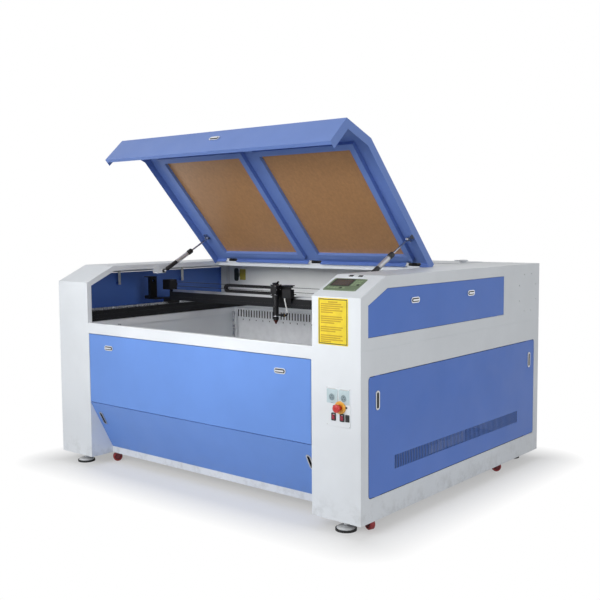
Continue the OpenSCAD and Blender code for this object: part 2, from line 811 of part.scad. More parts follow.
// Slotted intake under the rear edge of the bed, welded from sheets, and two outlets
module exhaust_plenum() {
    y0 = bed_back + sheet;
    y1 = bed_back + 110;
    z0 = duct_z - duct_r - 12;
    z1 = zs - gap;
    slots = floor((2 * bed_x - 30) / comb_pitch);
    holes = floor((2 * bed_x - 60) / (2.5 * comb_pitch));
    inset = sheet + weld;
    color([0.75, 0.75, 0.74]) difference() {
        union() {
            for (y = [y0, y1 - sheet]) box(-bed_x, bed_x, y, y + sheet, z0, z1);
            for (z = [z0, z1 - sheet]) box(-bed_x, bed_x, y0 + inset, y1 - inset, z, z + sheet);
            both_sides() {
                box(bed_x - sheet, bed_x, y0 + inset, y1 - inset, z0 + inset, z1 - inset);
                translate([duct_x, y1 + weld, duct_z]) rotate([-90, 0, 0])
                    cylinder(r = duct_r - 1, h = hd - y1 - weld);
            }
        }
        both_sides() translate([duct_x, y1 - 5, duct_z]) rotate([-90, 0, 0])
            cylinder(r = duct_r - 1 - sheet, h = hd - y1 + 6);
        for (i = [0:slots - 1])
            box((i - (slots - 1) / 2) * comb_pitch - 4.5, (i - (slots - 1) / 2) * comb_pitch + 4.5,
                y0 - 1, y0 + sheet + 1, zs - 46, zs - 6);
        // row of small holes under the slots
        for (i = [0:holes - 1])
            translate([(i - (holes - 1) / 2) * 2.5 * comb_pitch, y0 - 1, zs - 62])
                rotate([-90, 0, 0]) cylinder(r = 4, h = sheet + 2, $fn = 16);
    }
    // flanged spigots on the back of the cabinet
    color([0.75, 0.75, 0.74]) both_sides()
        translate([duct_x, hd + 0.2, duct_z]) rotate([-90, 0, 0]) difference() {
            union() {
                cylinder(r = duct_r + 16, h = 2.8);
                cylinder(r = duct_r + sheet, h = duct_out - 0.2);
            }
            translate([0, 0, -1]) cylinder(r = duct_r, h = duct_out + 2);
        }
}

// ---------- lid ----------

win_w = (2 * lid_x - 2 * win_end - win_mid) / 2;
win_x = win_mid / 2 + win_w / 2;
win_y0 = ys + win_front;
win_y1 = hinge_y - win_back;
lid_back = open_back - 3;
band_z = zf - band_h;

// Folded sheet: flat top, slant, front band, sides and two window openings
module lid_skin() {
    color(blue) lid_pose() difference() {
        union() {
            along_x(-lid_x, lid_x) intersection() {
                side_strip(0, sheet, lid_back);
                translate([yf - 1, band_z]) square([lid_back - yf + 1, zt - band_z]);
            }
            both_sides() along_x(lid_x - sheet, lid_x) intersection() {
                side_strip(0, lid_fold, lid_back);
                translate([yf - 1, band_z]) square([lid_back - yf + 1, zt - band_z]);
            }
            box(-lid_x, lid_x, yf, yf + 18, band_z, band_z + sheet);
            box(-lid_x, lid_x, lid_back - sheet, lid_back, zt - 22, zt);
        }
        both_sides() box(win_x - win_w / 2, win_x + win_w / 2, win_y0, win_y1, zt - 5, zt + 1);
        for (x = [-hinge_x, 0, hinge_x])
            box(x - 41, x + 41, lid_back - 8, lid_back + 1, zt - 23, zt + 1);
        translate([0, yf - 1, lid_latch_z]) rotate([-90, 0, 0])
            cylinder(r = 8 + fit, h = sheet + 2);
    }
}

pane_lap = 12;
rim_w = 34;
rim_h = 22;

module window_frame() {
    z1 = zt - sheet;
    difference() {
        union() {
            // folded retaining frame with a step that holds the pane
            box(-win_w / 2 - rim_w, win_w / 2 + rim_w, win_y0 - rim_w, win_y1 + rim_w,
                z1 - rim_h, z1);
        }
        box(-win_w / 2 - pane_lap, win_w / 2 + pane_lap, win_y0 - pane_lap,
            win_y1 + pane_lap, z1 - pane_t, z1 + 1);
        box(-win_w / 2 - 4, win_w / 2 + 4, win_y0 - 4, win_y1 + 4, z1 - rim_h - 1, z1 + 1);
    }
}

module lid_window_frames() {
    color(blue) lid_pose() both_sides() translate([win_x, 0, 0]) window_frame();
}

module lid_windows() {
    color([0.55, 0.4, 0.22, 0.8]) lid_pose() both_sides()
        box(win_x - win_w / 2 - pane_lap, win_x + win_w / 2 + pane_lap, win_y0 - pane_lap,
            win_y1 + pane_lap, zt - sheet - pane_t, zt - sheet);
}

// Lid leaves of the hinges, strut studs and rubber buffers
module lid_fittings() {
    stud_y = hinge_y - stud_arm * cos(stud_drop);
    stud_z = hinge_z - stud_arm * sin(stud_drop);
    color(steel) lid_pose() {
        for (x = [-hinge_x, 0, hinge_x]) difference() {
            union() {
                translate([x - 12, hinge_y, hinge_z]) rotate([0, 90, 0])
                    cylinder(r = 7, h = 24);
                box(x - 12, x + 12, hinge_y - 20, hinge_y, zt, zt + 3);
                box(x - 35, x + 35, hinge_y - 52, hinge_y - 17, zt, zt + 3);
            }
            translate([x - 13, hinge_y, hinge_z]) rotate([0, 90, 0])
                cylinder(r = 4 + fit, h = 26);
        }
        both_sides() {
            box(strut_x + 12, strut_x + 15, stud_y - 12, stud_y + 12, stud_z - 8, zt - sheet);
            box(strut_x + 12, strut_x + 40, stud_y - 12, stud_y + 12, zt - sheet - 3,
                zt - sheet);
            translate([strut_x + 6.5, stud_y, stud_z]) rotate([0, 90, 0])
                cylinder(r = 4, h = 6);
        }
    }
}

module lid_latch() {
    color(steel) lid_pose() translate([0, yf - gap, lid_latch_z]) rotate([90, 0, 0])
        latch(16, 44, 0);
}

// Fixed leaves and pins of the lid's three hinges and of the tube cover's two
module fixed_hinges() {
    color(white) for (x = cover_hinges) {
        translate([x - 28, cover_hinge_y, cover_hinge_z]) rotate([0, 90, 0])
            cylinder(r = 2, h = 56);
        for (s = [-1, 1])
            box(x + s * 22 - 6, x + s * 22 + 6, cover_hinge_y - 2.8, cover_hinge_y + 3.5, zt,
                cover_hinge_z + 2.8);
    }
    color(white) for (x = [-hinge_x, 0, hinge_x]) {
        for (s = [-1, 1])
            translate([x + s * 24 - 11.5, hinge_y, hinge_z]) rotate([0, 90, 0])
                cylinder(r = 7, h = 23);
        translate([x - 35.5, hinge_y, hinge_z]) rotate([0, 90, 0]) cylinder(r = 4, h = 71);
        for (s = [-1, 1])
            box(x + s * 24 - 11.5, x + s * 24 + 11.5, hinge_y, hinge_y + 16, zt, zt + 3);
        box(x - 35.5, x + 35.5, hinge_y + 12, hinge_y + 40, zt, zt + 3);
    }
}

// ---------- gas struts ----------

// Folded brackets of the gas struts: each is bolted inside the wing's flange and
// passes under the closed lid to the stud
module strut_brackets() {
    plate_x = strut_x + 16;
    shelf_z = zt - 48;
    y0 = low_y - 22;
    y1 = low_y + 22;
    color(white) both_sides() {
        box(ow + sheet, ow + sheet + 3, y0, y1, shelf_z, zt - sheet);
        box(plate_x, ow + sheet + 3, y0, y1, shelf_z, shelf_z + 3);
        box(plate_x, plate_x + 3, y0, y1, shelf_z, low_z + 12);
        translate([strut_x - 8, low_y, low_z]) rotate([0, 90, 0])
            cylinder(r = 5, h = plate_x + 1 - strut_x + 8);
        for (y = [-12, 12]) translate([ow - 2.5, low_y + y, zt - 14]) rotate([0, 90, 0])
            cylinder(r = 5, h = 2.5);
    }
}

module lid_supports() {
    fixed_hinges();
    strut_brackets();
}

// Places children on a strut: its foot at the origin and its length along y
module strut_pose(s) {
    translate([s * strut_x, low_y, low_z]) rotate([strut_a, 0, 0]) children();
}

module strut_tube(s) {
    inner = strut_r - 2;
    color(dark) strut_pose(s) difference() {
        union() {
            translate([-6, 0, 0]) rotate([0, 90, 0]) cylinder(r = 10, h = 12);
            rotate([-90, 0, 0]) rotate_extrude()
                polygon([[0, 7], [4.5, 7], [4.5, 17], [strut_r - 2, 19], [strut_r, 22],
                    [strut_r, tube_end - 27], [strut_r + 2, tube_end - 25],
                    [strut_r + 2, tube_end - 2], [strut_r, tube_end], [rod_r + fit, tube_end],
                    [rod_r + fit, tube_end - 14], [inner, tube_end - 14], [inner, 26],
                    [0, 26]]);
        }
        translate([-7, 0, 0]) rotate([0, 90, 0]) cylinder(r = 5 + fit, h = 14);
    }
}

module strut_rod(s) {
    piston_y = 122;
    color([0.2, 0.2, 0.2]) strut_pose(s) difference() {
        union() {
            translate([0, piston_y, 0]) rotate([-90, 0, 0])
                cylinder(r = strut_r - 2 - gap, h = 10);
            translate([0, piston_y, 0]) rotate([-90, 0, 0])
                cylinder(r = rod_r, h = strut_len - piston_y - 5);
            translate([-6, strut_len, 0]) rotate([0, 90, 0]) cylinder(r = 9, h = 12);
        }
        translate([-7, strut_len, 0]) rotate([0, 90, 0]) cylinder(r = 4, h = 14);
    }
}

// ---------- motion system ----------

module y_rails() {
    color(dark) both_sides() {
        // hollow beam with two side grooves, its linear guide, and the idler block
        difference() {
            box(rail_x - rail_w / 2, rail_x + rail_w / 2, rail_y0, rail_y1, deck_z, rail_z);
            box(rail_x - rail_w / 2 + 5, rail_x + rail_w / 2 - 5, rail_y0 - 1, rail_y1 + 1,
                deck_z + 5, rail_z - 5);
            for (z = [0.3, 0.7])
                box(rail_x - rail_w / 2 - 1, rail_x - rail_w / 2 + 2, rail_y0 - 1, rail_y1 + 1,
                    deck_z + z * rail_h - 4, deck_z + z * rail_h + 4);
        }
        box(rail_x - guide_w / 2, rail_x + guide_w / 2, rail_y0 + 5, rail_y1 - 5, rail_z,
            rail_z + guide_h);
        box(rail_x + rail_w / 2, y_belt_x - 7, rail_y0 + 8, rail_y0 + 34, deck_z,
            shaft_z + 11);
        translate([rail_x + rail_w / 2 + 5, rail_y0 + 21, shaft_z]) rotate([0, 90, 0])
            cylinder(r = pulley_r - gap, h = y_belt_x + 6 - rail_x - rail_w / 2 - 5);
        // shaft bearing
        difference() {
            box(rail_x + rail_w / 2, rail_x + rail_w / 2 + 12, rail_y1 - 30, shaft_y + 14,
                deck_z, shaft_z + 11);
            translate([rail_x, shaft_y, shaft_z]) rotate([0, 90, 0])
                cylinder(r = 8 + fit, h = 60);
        }
    }
}

module y_shaft() {
    color(steel) {
        translate([-y_belt_x - 8, shaft_y, shaft_z]) rotate([0, 90, 0])
            cylinder(r = 8, h = 2 * y_belt_x + 16);
        both_sides() translate([y_belt_x - 6, shaft_y, shaft_z]) rotate([0, 90, 0])
            cylinder(r = pulley_r - gap, h = 12);
        translate([drive_x - 8, shaft_y, shaft_z]) rotate([0, 90, 0])
            cylinder(r = drive_r - gap, h = 16);
    }
}

// A toothed belt loop in the Y-Z plane
module belt_loop(y0, y1, z, r, w) {
    translate([0, 0, z]) rotate([90, 0, 90]) translate([0, 0, -w / 2]) linear_extrude(w)
        difference() {
            union() {
                translate([y0, -r - belt_t]) square([y1 - y0, 2 * (r + belt_t)]);
                for (y = [y0, y1]) translate([y, 0]) circle(r + belt_t);
            }
            union() {
                translate([y0, -r]) square([y1 - y0, 2 * r]);
                for (y = [y0, y1]) translate([y, 0]) circle(r);
            }
        }
}

module drive_belts() {
    color(dark) {
        both_sides() translate([y_belt_x, 0, 0])
            belt_loop(rail_y0 + 21, shaft_y, shaft_z, pulley_r, 9);
        translate([drive_x, 0, 0]) belt_loop(drive_y, shaft_y, shaft_z, drive_r, 9);
        // lift belt round the four screws, under the table
        translate([0, 0, lift_z + 14]) linear_extrude(10) difference() {
            lift_outline(lift_r + 2.2);
            lift_outline(lift_r);
        }
    }
}

module lift_outline(r) {
    union() {
        translate([-screw_x, screw_y0 - r]) square([2 * screw_x, screw_y1 - screw_y0 + 2 * r]);
        translate([-screw_x - r, screw_y0]) square([2 * screw_x + 2 * r, screw_y1 - screw_y0]);
        for (x = [-screw_x, screw_x], y = [screw_y0, screw_y1])
            translate([x, y]) circle(r);
    }
}

module motor(size, len) {
    difference() {
        translate([-size / 2, -size / 2, 0]) cube([size, size, len]);
        for (x = [-1, 1], y = [-1, 1])
            translate([x * size / 2 - 4, y * size / 2 - 4, 6]) cube([8, 8, len - 12]);
    }
    translate([0, 0, len - 1]) cylinder(r = size * 0.33, h = 3);
    translate([0, 0, len]) cylinder(r = 4, h = 18);
}

motor_w = 57;

module fixed_motors() {
    motor_x = drive_x - 18;
    stand_z = lift_z + 28;
    leg_x = lift_r + 3;
    color(dark) {
        // motor of the Y shaft, on its foot in front of the shaft
        translate([motor_x - 56, drive_y, shaft_z]) rotate([0, 90, 0]) motor(motor_w, 56);
        translate([drive_x - 6, drive_y, shaft_z]) rotate([0, 90, 0])
            cylinder(r = drive_r - gap, h = 12);
        box(motor_x - 50, motor_x - 6, drive_y - 20, drive_y + 20, deck_z,
            shaft_z - motor_w / 2 + 1);
        // lift motor on two legs over the frame, with its pulley in the lift belt
        translate([0, screw_y1, stand_z]) motor(motor_w, 60);
        translate([0, screw_y1, lift_z + 12]) cylinder(r = lift_r - gap, h = 14);
        translate([0, screw_y1, lift_z + 12]) cylinder(r = 5, h = 18);
        for (s = [-1, 1])
            translate([s * (leg_x + 2.5) - 2.5, screw_y1 - motor_w / 2, tray_z])
                cube([5, motor_w - 18, stand_z - tray_z + 1]);
    }
}

module x_beam() {
    color([0.07, 0.07, 0.08]) difference() {
        box(-beam_x, beam_x, beam_y - beam_w / 2, beam_y + beam_w / 2, beam_z0, beam_z1);
        box(-beam_x - 1, beam_x + 1, beam_y - beam_w / 2 + 5, beam_y + beam_w / 2 - 5,
            beam_z0 + 5, beam_z1 - 5);
        for (y = [-1, 1])
            box(-beam_x - 1, beam_x + 1, beam_y + y * beam_w / 2 - 2, beam_y + y * beam_w / 2 + 2,
                beam_z0 + beam_h / 2 - 5, beam_z0 + beam_h / 2 + 5);
    }
}

module x_guide() {
    color([0.85, 0.86, 0.87]) difference() {
        box(-beam_x + 10, beam_x - 10, guide_y - guide_w / 2, guide_y + guide_w / 2,
            beam_z1, beam_z1 + guide_h);
        for (y = [-1, 1])
            box(-beam_x, beam_x, guide_y + y * guide_w / 2 - 1.5,
                guide_y + y * guide_w / 2 + 1.5, beam_z1 + 4, beam_z1 + 8);
    }
}

module gantry_ends() {
    back = beam_y + beam_w / 2;
    post_x = rail_x + 8;
    color([0.12, 0.12, 0.13]) {
        both_sides() {
            // slider on the side rail
            difference() {
                box(rail_x - 20, rail_x + 20, beam_y - 38, beam_y + 38, rail_z + 3,
                    rail_z + 27);
                box(rail_x - guide_w / 2 - gap, rail_x + guide_w / 2 + gap, beam_y - 39,
                    beam_y + 39, rail_z, rail_z + guide_h + gap);
            }
            box(beam_x, beam_x + 6, beam_front, back, rail_z + 20, beam_z1 + 4);
            box(beam_x, y_belt_x + 10, beam_front - 8, back + 8, rail_z + 27, rail_z + 34);
            // clamp on the upper strand of the side belt
            box(y_belt_x - 6, y_belt_x + 6, beam_y - 14, beam_y + 14,
                shaft_z + pulley_r + belt_t + gap, rail_z + 28);
        }
        // post and idler of the cross belt at the right end
        difference() {
            box(rail_x - 24, rail_x + 24, x_belt_y + 8, x_belt_y + 14, rail_z + 33,
                belt_z + 14);
            for (s = [-1, 1])
                box(rail_x + s * 24 - 12, rail_x + s * 24 + 12, x_belt_y + 7, x_belt_y + 15,
                    belt_z - 12, belt_z + 15);
        }
        translate([x_belt_x, x_belt_y - 6, belt_z]) rotate([-90, 0, 0])
            cylinder(r = pulley_r - gap, h = 15);
        // arm and holder of the second mirror
        box(mirror_x - 24, -rail_x - rail_w / 2 + 2, head_y - 22, beam_front + 10,
            rail_z + 27, rail_z + 34);
        difference() {
            box(mirror_x - 24, mirror_x + 24, head_y - 24, head_y + 24, rail_z + 33,
                path_z + 24);
            translate([mirror_x, head_y, path_z]) rotate([0, 90, 0]) cylinder(r = 10, h = 40);
            translate([mirror_x, head_y, path_z]) rotate([-90, 0, 0]) cylinder(r = 10, h = 40);
            translate([mirror_x - 24, head_y - 24, rail_z + 45]) rotate([0, 0, 45])
                translate([-22, -40, 0]) cube([44, 80, 100]);
        }
    }
}

module x_motor() {
    size = 54;
    face_y = x_belt_y - 18;
    color([0.06, 0.06, 0.06]) {
        translate([-x_belt_x, face_y - 50, belt_z]) rotate([-90, 0, 0]) motor(size, 50);
        translate([-x_belt_x, x_belt_y - 6, belt_z]) rotate([-90, 0, 0])
            cylinder(r = pulley_r - gap, h = 12);
        // bracket down to the end plate
        box(-x_belt_x - 27, -beam_x - 6.3, face_y, face_y + 4, rail_z + 34, beam_z1 + 6);
        difference() {
            box(-x_belt_x - 27, -x_belt_x + 27, face_y, face_y + 4, beam_z1 + 5,
                belt_z + 26);
            translate([-x_belt_x, face_y - 1, belt_z]) rotate([-90, 0, 0])
                cylinder(r = 19, h = 6);
        }
    }
}

module x_belt() {
    color(dark) translate([0, x_belt_y, 0]) rotate([0, 0, -90])
        belt_loop(-x_belt_x, x_belt_x, belt_z, pulley_r, 10);
}

// Cable chain laid along the gantry: two runs of links and their bend
module drag_chain() {
    link = 18;
    low_run = 430;
    high_run = head_x - 40 - chain_x;
    mid_z = belt_z - 5;
    half = chain_h / 2;
    low_z = mid_z - chain_r - half;
    color(dark) {
        translate([chain_x, chain_y + chain_w / 2, mid_z]) rotate([90, 0, 0])
            linear_extrude(chain_w)
                difference() {
                    union() {
                        circle(chain_r + half);
                        translate([0, -chain_r - half]) square([low_run, chain_h]);
                        translate([0, chain_r - half]) square([high_run, chain_h]);
                    }
                    circle(chain_r - half);
                    translate([0, -chain_r + half]) square([low_run + 1, 2 * chain_r - chain_h]);
                    for (i = [1:floor(low_run / link) - 1])
                        translate([i * link, -chain_r + half - 2]) square([2, 4]);
                    for (i = [1:floor(high_run / link) - 1])
                        translate([i * link, chain_r + half - 2]) square([2, 4]);
                    for (a = [100:20:260])
                        rotate([0, 0, a]) translate([chain_r + half - 2, -1]) square([4, 2]);
                }
        // tray under the lower run
        box(chain_x - 240, chain_x + low_run, chain_y - chain_w / 2, chain_y + chain_w / 2,
            beam_z1, low_z - 0.2);
    }
}

// Slider on the guide, bridge over the chain, and the plate that carries the head
module carriage() {
    top = beam_z1 + guide_h + 8;
    plate_y = head_y + 28;
    bridge_z = belt_z - 5 + chain_r + chain_h / 2 + 2;
    color([0.1, 0.1, 0.11]) {
        difference() {
            box(head_x - 35, head_x + 35, guide_y - 11, guide_y + 11, beam_z1 + 2, top);
            box(head_x - 36, head_x + 36, guide_y - guide_w / 2 - gap,
                guide_y + guide_w / 2 + gap, beam_z1, beam_z1 + guide_h + gap);
        }
        box(head_x - 38, head_x + 72, plate_y, guide_y + 11, top - 1, top + 3);
        box(head_x - 38, head_x + 72, plate_y, plate_y + 5, beam_z1 - 20, bridge_z + 5);
        box(head_x - 30, head_x + 30, plate_y, x_belt_y + 6, bridge_z, bridge_z + 5);
        // clamp on the belt's upper strand
        box(head_x - 20, head_x + 20, x_belt_y - 6, x_belt_y + 6,
            belt_z + pulley_r + belt_t + gap, bridge_z + 1);
        // limit switch block
        box(head_x + 38, head_x + 92, head_y + 2, plate_y + 1, path_z - 52, path_z - 10);
    }
}

// Housing of the third mirror on its neck, with the adjusting plate and its knobs
module laser_head() {
    half = 18;
    color([0.05, 0.05, 0.06]) {
        difference() {
            union() {
                box(head_x - half, head_x + half, head_y - half, head_y + half, path_z - 42,
                    path_z + 12);
                box(head_x - half + 4, head_x + half - 4, head_y + half - 1, head_y + 28,
                    path_z - 34, path_z + 2);
                translate([head_x, head_y, path_z - 58]) cylinder(r = lens_r + 3.5, h = 17);
            }
            translate([head_x, head_y, path_z - 59]) cylinder(r = lens_r + fit, h = 39);
            translate([head_x, head_y, path_z - 30]) cylinder(r = 8, h = 30);
            translate([head_x - 60, head_y, path_z]) rotate([0, 90, 0])
                cylinder(r = 8, h = 62);
            translate([head_x - 3, head_y, path_z + 14]) rotate([0, 45, 0])
                translate([-30, -40, 0]) cube([80, 80, 60]);
        }
        // mirror plate on the sloping top, and its three knobs
        translate([head_x - 3, head_y, path_z + 14]) rotate([0, 45, 0]) {
            translate([-6, -half, 0]) cube([34, 2 * half, 5]);
            for (k = [[22, -11], [22, 11], [0, 11]])
                translate([k[0], k[1], 5]) cylinder(r = 4.5, h = 12);
        }
    }
}

inlet_x = 60;
inlet_z = 44;

module lens_tube() {
    z1 = path_z - 40;
    tip = path_z - path_h;
    color([0.08, 0.07, 0.08]) {
        translate([head_x, head_y, 0]) rotate_extrude()
            polygon([[10, z1], [lens_r, z1], [lens_r, tip + 34], [lens_r - 1, tip + 33],
                [lens_r - 1, tip + 18], [5, tip + 5], [4, tip], [1.5, tip], [1.5, tip + 8],
                [10, tip + 24]]);
        // locking screw and air inlet
        translate([head_x + 3, head_y - lens_r + 1, path_z - 94]) rotate([90, 0, 0])
            cylinder(r = 4, h = 8);
        translate([head_x + lens_r - 3, head_y, tip + inlet_z]) rotate([0, 90, 0])
            cylinder(r = 5, h = inlet_x - lens_r + 3);
        translate([head_x + inlet_x - 24, head_y, tip + inlet_z]) rotate([0, 90, 0])
            cylinder(r = 8, h = 20);
    }
}

// Route of the air hose from the lens tube's inlet to the switch block, from the
// nozzle's tip
hose_r = 3;
hose_pts = [[60, 0, 44], [66, 0, 44], [71, 0, 48], [72, 0, 55], [69, 1, 63], [65, 2, 73],
    [60, 4, 84], [55, 6, 95], [51, 8, 105], [48, 10, 114], [47, 11, 121], [47, 11, 126]];

function ring(p, d, r, n) = let (
    u = d / norm(d),
    a = cross(u, [0, 1, 0]) / norm(cross(u, [0, 1, 0])),
    b = cross(u, a))
    [for (i = [0:n - 1]) p + r * (a * cos(360 * i / n) + b * sin(360 * i / n))];

// Tube swept along a list of points
module sweep(pts, r, n) {
    m = len(pts);
    rings = [for (k = [0:m - 1])
        each ring(pts[k], pts[min(k + 1, m - 1)] - pts[max(k - 1, 0)], r, n)];
    polyhedron(rings, concat(
        [[for (i = [0:n - 1]) i]],
        [[for (i = [n - 1:-1:0]) (m - 1) * n + i]],
        [for (k = [0:m - 2], i = [0:n - 1])
            [k * n + i, (k + 1) * n + i, (k + 1) * n + (i + 1) % n, k * n + (i + 1) % n]]));
}

module air_hose() {
    color("white") translate([head_x, head_y, path_z - path_h]) sweep(hose_pts, hose_r, 8);
}

// ---------- laser tube bay ----------

module laser_tube() {
    color([0.85, 0.9, 0.92, 0.6]) translate([-tube_len / 2, hd - tube_back, path_z])
        rotate([0, 90, 0]) {
            difference() {
                cylinder(r = tube_r, h = tube_len);
                translate([0, 0, 40]) cylinder(r = tube_r - 3, h = tube_len - 80);
            }
            // metal end heads
            for (z = [-38, tube_len])
                translate([0, 0, z]) cylinder(r = 18, h = 38);
            // discharge tube inside
            translate([0, 0, 39]) cylinder(r = 9, h = tube_len - 78);
        }
}

module tube_mounts() {
    mount_x = tube_len / 2 - 320;
    y = hd - tube_back;
    color([0.15, 0.15, 0.16]) {
        for (x = [-mount_x, mount_x]) difference() {
            union() {
                box(x - 12, x + 12, y - 52, y + 52, deck_z, path_z);
                translate([x - 12, y, path_z]) rotate([0, 90, 0])
                    cylinder(r = tube_r + 10, h = 24);
                box(x - 30, x + 30, y - 60, y + 60, deck_z, deck_z + 6);
            }
            translate([x - 13, y, path_z]) rotate([0, 90, 0]) cylinder(r = tube_r + fit, h = 26);
        }
        // first mirror
        difference() {
            box(mirror_x - 24, mirror_x + 24, y - 24, y + 24, deck_z, path_z + 24);
            translate([mirror_x, y, path_z]) rotate([0, 90, 0]) cylinder(r = 10, h = 40);
            translate([mirror_x, y, path_z]) rotate([90, 0, 0]) cylinder(r = 10, h = 40);
        }
    }
}

module electronics() {
    x0 = jamb + sheet;
    color([0.6, 0.62, 0.64]) {
        // mounting plate, laser supply, two drives and a low voltage supply
        box(x0, x0 + 3, -420, 420, zb + 110, zb + 560);
        box(x0 + 3, x0 + 150, -380, -130, zb + 130, zb + 330);
        for (i = [0:1])
            box(x0 + 3, x0 + 120, -60 + 110 * i, -10 + 110 * i, zb + 160, zb + 310);
        box(x0 + 3, x0 + 55, 200, 400, zb + 150, zb + 260);
        box(x0 + 3, x0 + 45, -360, -140, zb + 390, zb + 520);
    }
}

// Power inlet, two water connections and an air connection on the back
module rear_connectors() {
    z = zb + 150;
    color([0.12, 0.12, 0.13]) {
        translate([-(jamb + 118), hd + 0.1, z]) rotate([-90, 0, 0]) difference() {
            translate([-34, -25, 0]) cube([68, 50, 4]);
            translate([-13, -10, 1]) cube([26, 20, 4]);
        }
        for (i = [0:2])
            translate([-(jamb + 78) - 40 * i, hd + 0.1, z + 80]) rotate([-90, 0, 0]) {
                cylinder(r = 11, h = 5, $fn = 6);
                cylinder(r = 6, h = 26);
                for (k = [10, 17]) translate([0, 0, k]) cylinder(r = 7, h = 3);
            }
    }
}

// ---------- lifting table ----------

module lift_screws() {
    color(steel) for (x = [-screw_x, screw_x], y = [screw_y0, screw_y1]) {
        translate([x, y, lift_z]) cylinder(r = screw_r, h = deck_z - 18 - lift_z);
        translate([x, y, lift_z + 8]) cylinder(r = 18, h = 22);
        translate([x - 22, y - 22, frame_z + 40]) cube([44, 44, lift_z + 6 - frame_z - 40]);
    }
}

module table_frame() {
    z0 = slat_z - slat_h - 14;
    z1 = slat_z - 10;
    color(steel) difference() {
        union() {
            difference() {
                box(-table_x, table_x, table_y0, table_y1, z0, z1);
                box(-table_x + ring_w, table_x - ring_w, table_y0 + ring_w,
                    table_y1 - ring_w, z0 - 1, z1 + 1);
            }
            for (x = [-screw_x, screw_x], y = [screw_y0, screw_y1])
                translate([x, y, z0 - 24]) cylinder(r = 17, h = 26);
            // three bars that carry the slats
            for (k = [0.06, 0.5, 0.94])
                translate([0, table_y0 + ring_w + k * (table_y1 - table_y0 - 2 * ring_w), 0])
                    box(-table_x + ring_w - 1, table_x - ring_w + 1, -12, 12, z0,
                        slat_z - slat_h);
        }
        for (x = [-screw_x, screw_x], y = [screw_y0, screw_y1])
            translate([x, y, z0 - 25]) cylinder(r = screw_r + fit, h = slat_h + 60);
    }
}

module knife_slats() {
    room = 2 * (table_x - ring_w) - 8;
    count = floor(room / slat_pitch) + 1;
    color([0.8, 0.81, 0.82]) for (i = [0:count - 1])
        translate([(i - (count - 1) / 2) * slat_pitch, 0, 0])
            rotate([90, 0, 0]) translate([0, 0, -(table_y1 - ring_w - gap)])
                linear_extrude(table_y1 - table_y0 - 2 * ring_w - 2 * gap)
                    polygon([[-slat_t / 2, slat_z - slat_h], [slat_t / 2, slat_z - slat_h],
                        [slat_t / 2, slat_z - 6], [0.5, slat_z], [-0.5, slat_z],
                        [-slat_t / 2, slat_z - 6]]);
}

// ---------- controls ----------

ctrl_x0 = hw - 217;
ctrl_x1 = hw - 60;
ctrl_s0 = 50;
ctrl_s1 = 144;

// Display and keypad on the slanted console, and the socket plate above it
module controller() {
    color([0.35, 0.38, 0.34]) on_slant() {
        difference() {
            box(ctrl_x0, ctrl_x1, ctrl_s0, ctrl_s1, 0, 4);
            box(ctrl_x0 + 16, ctrl_x0 + 104, ctrl_s0 + 34, ctrl_s1 - 10, 2.5, 5);
        }
        box(ctrl_x0 + 8, ctrl_x1 - 8, ctrl_s0 + 8, ctrl_s1 - 8, -34, 0.5);
        // keys
        for (i = [0:2], j = [0:2])
            box(ctrl_x1 - 44 + 13 * i, ctrl_x1 - 34 + 13 * i, ctrl_s0 + 38 + 15 * j,
                ctrl_s0 + 48 + 15 * j, 3.5, 5);
        for (i = [0:5])
            box(ctrl_x0 + 14 + 14.5 * i, ctrl_x0 + 25 + 14.5 * i, ctrl_s0 + 12, ctrl_s0 + 22,
                3.5, 5);
        difference() {
            box(ctrl_x0 + 43, ctrl_x0 + 129, slant_len - 24, slant_len - 5, 0, 2);
            box(ctrl_x0 + 52, ctrl_x0 + 70, slant_len - 19, slant_len - 10, 1, 3);
            box(ctrl_x0 + 98, ctrl_x0 + 116, slant_len - 20, slant_len - 9, 1, 3);
        }
    }
}

// Plate with two socket covers, the stop button's collar and the switch bezels
module control_plate() {
    w = plate_x1 - plate_x0;
    color(white) {
        difference() {
            union() {
                box(plate_x0, plate_x1, yf - 3, yf, plate_z0, plate_z1);
                for (x = [plate_x0 + 10, plate_x0 + w / 2 + 4])
                    box(x, x + w / 2 - 14, yf - 6, yf - 2, plate_z1 - 64, plate_z1 - 8);
                for (x = [stop_x - 33, stop_x + 28])
                    translate([x, yf - 7, stop_z + 2]) rotate([-90, 0, 0])
                        cylinder(r = 4, h = 5);
                box(plate_x1 - 24, plate_x1 - 5, yf - 6, yf - 2, rocker_z - 14, rocker_z + 14);
            }
            for (x = [plate_x0 + 10, plate_x0 + w / 2 + 4])
                translate([x + w / 4 - 7, yf - 7, plate_z1 - 40]) rotate([-90, 0, 0])
                    cylinder(r = 15, h = 2);
            for (x = rocker_xs)
                box(x - 6 - gap, x + 6 + gap, yf - 4, yf - 1, rocker_z - 11 - gap,
                    rocker_z + 11 + gap);
            box(plate_x1 - 20, plate_x1 - 9, yf - 8, yf - 4, rocker_z - 4, rocker_z + 9);
        }
        // collar of the stop button
        translate([stop_x, yf - 3, stop_z]) rotate([90, 0, 0]) difference() {
            cylinder(r = 25, h = 8);
            translate([0, 0, 1]) cylinder(r = 9 + fit, h = 8);
        }
        for (x = rocker_xs) difference() {
            box(x - 10.5, x + 10.5, yf - 7, yf - 3, rocker_z - 15, rocker_z + 15);
            box(x - 6 - gap, x + 6 + gap, yf - 8, yf - 2, rocker_z - 11 - gap,
                rocker_z + 11 + gap);
        }
    }
}

rocker_xs = [hw - 126, hw - 85];

module stop_button() {
    color("red") translate([stop_x, yf - 4, stop_z]) rotate([90, 0, 0]) {
        translate([0, 0, 5]) cylinder(r = 9, h = 26);
        translate([0, 0, 26]) rotate_extrude()
            polygon([[0, 0], [stop_r - 5, 0], [stop_r, 6], [stop_r, 14], [stop_r - 4, 19],
                [0, 20]]);
    }
}

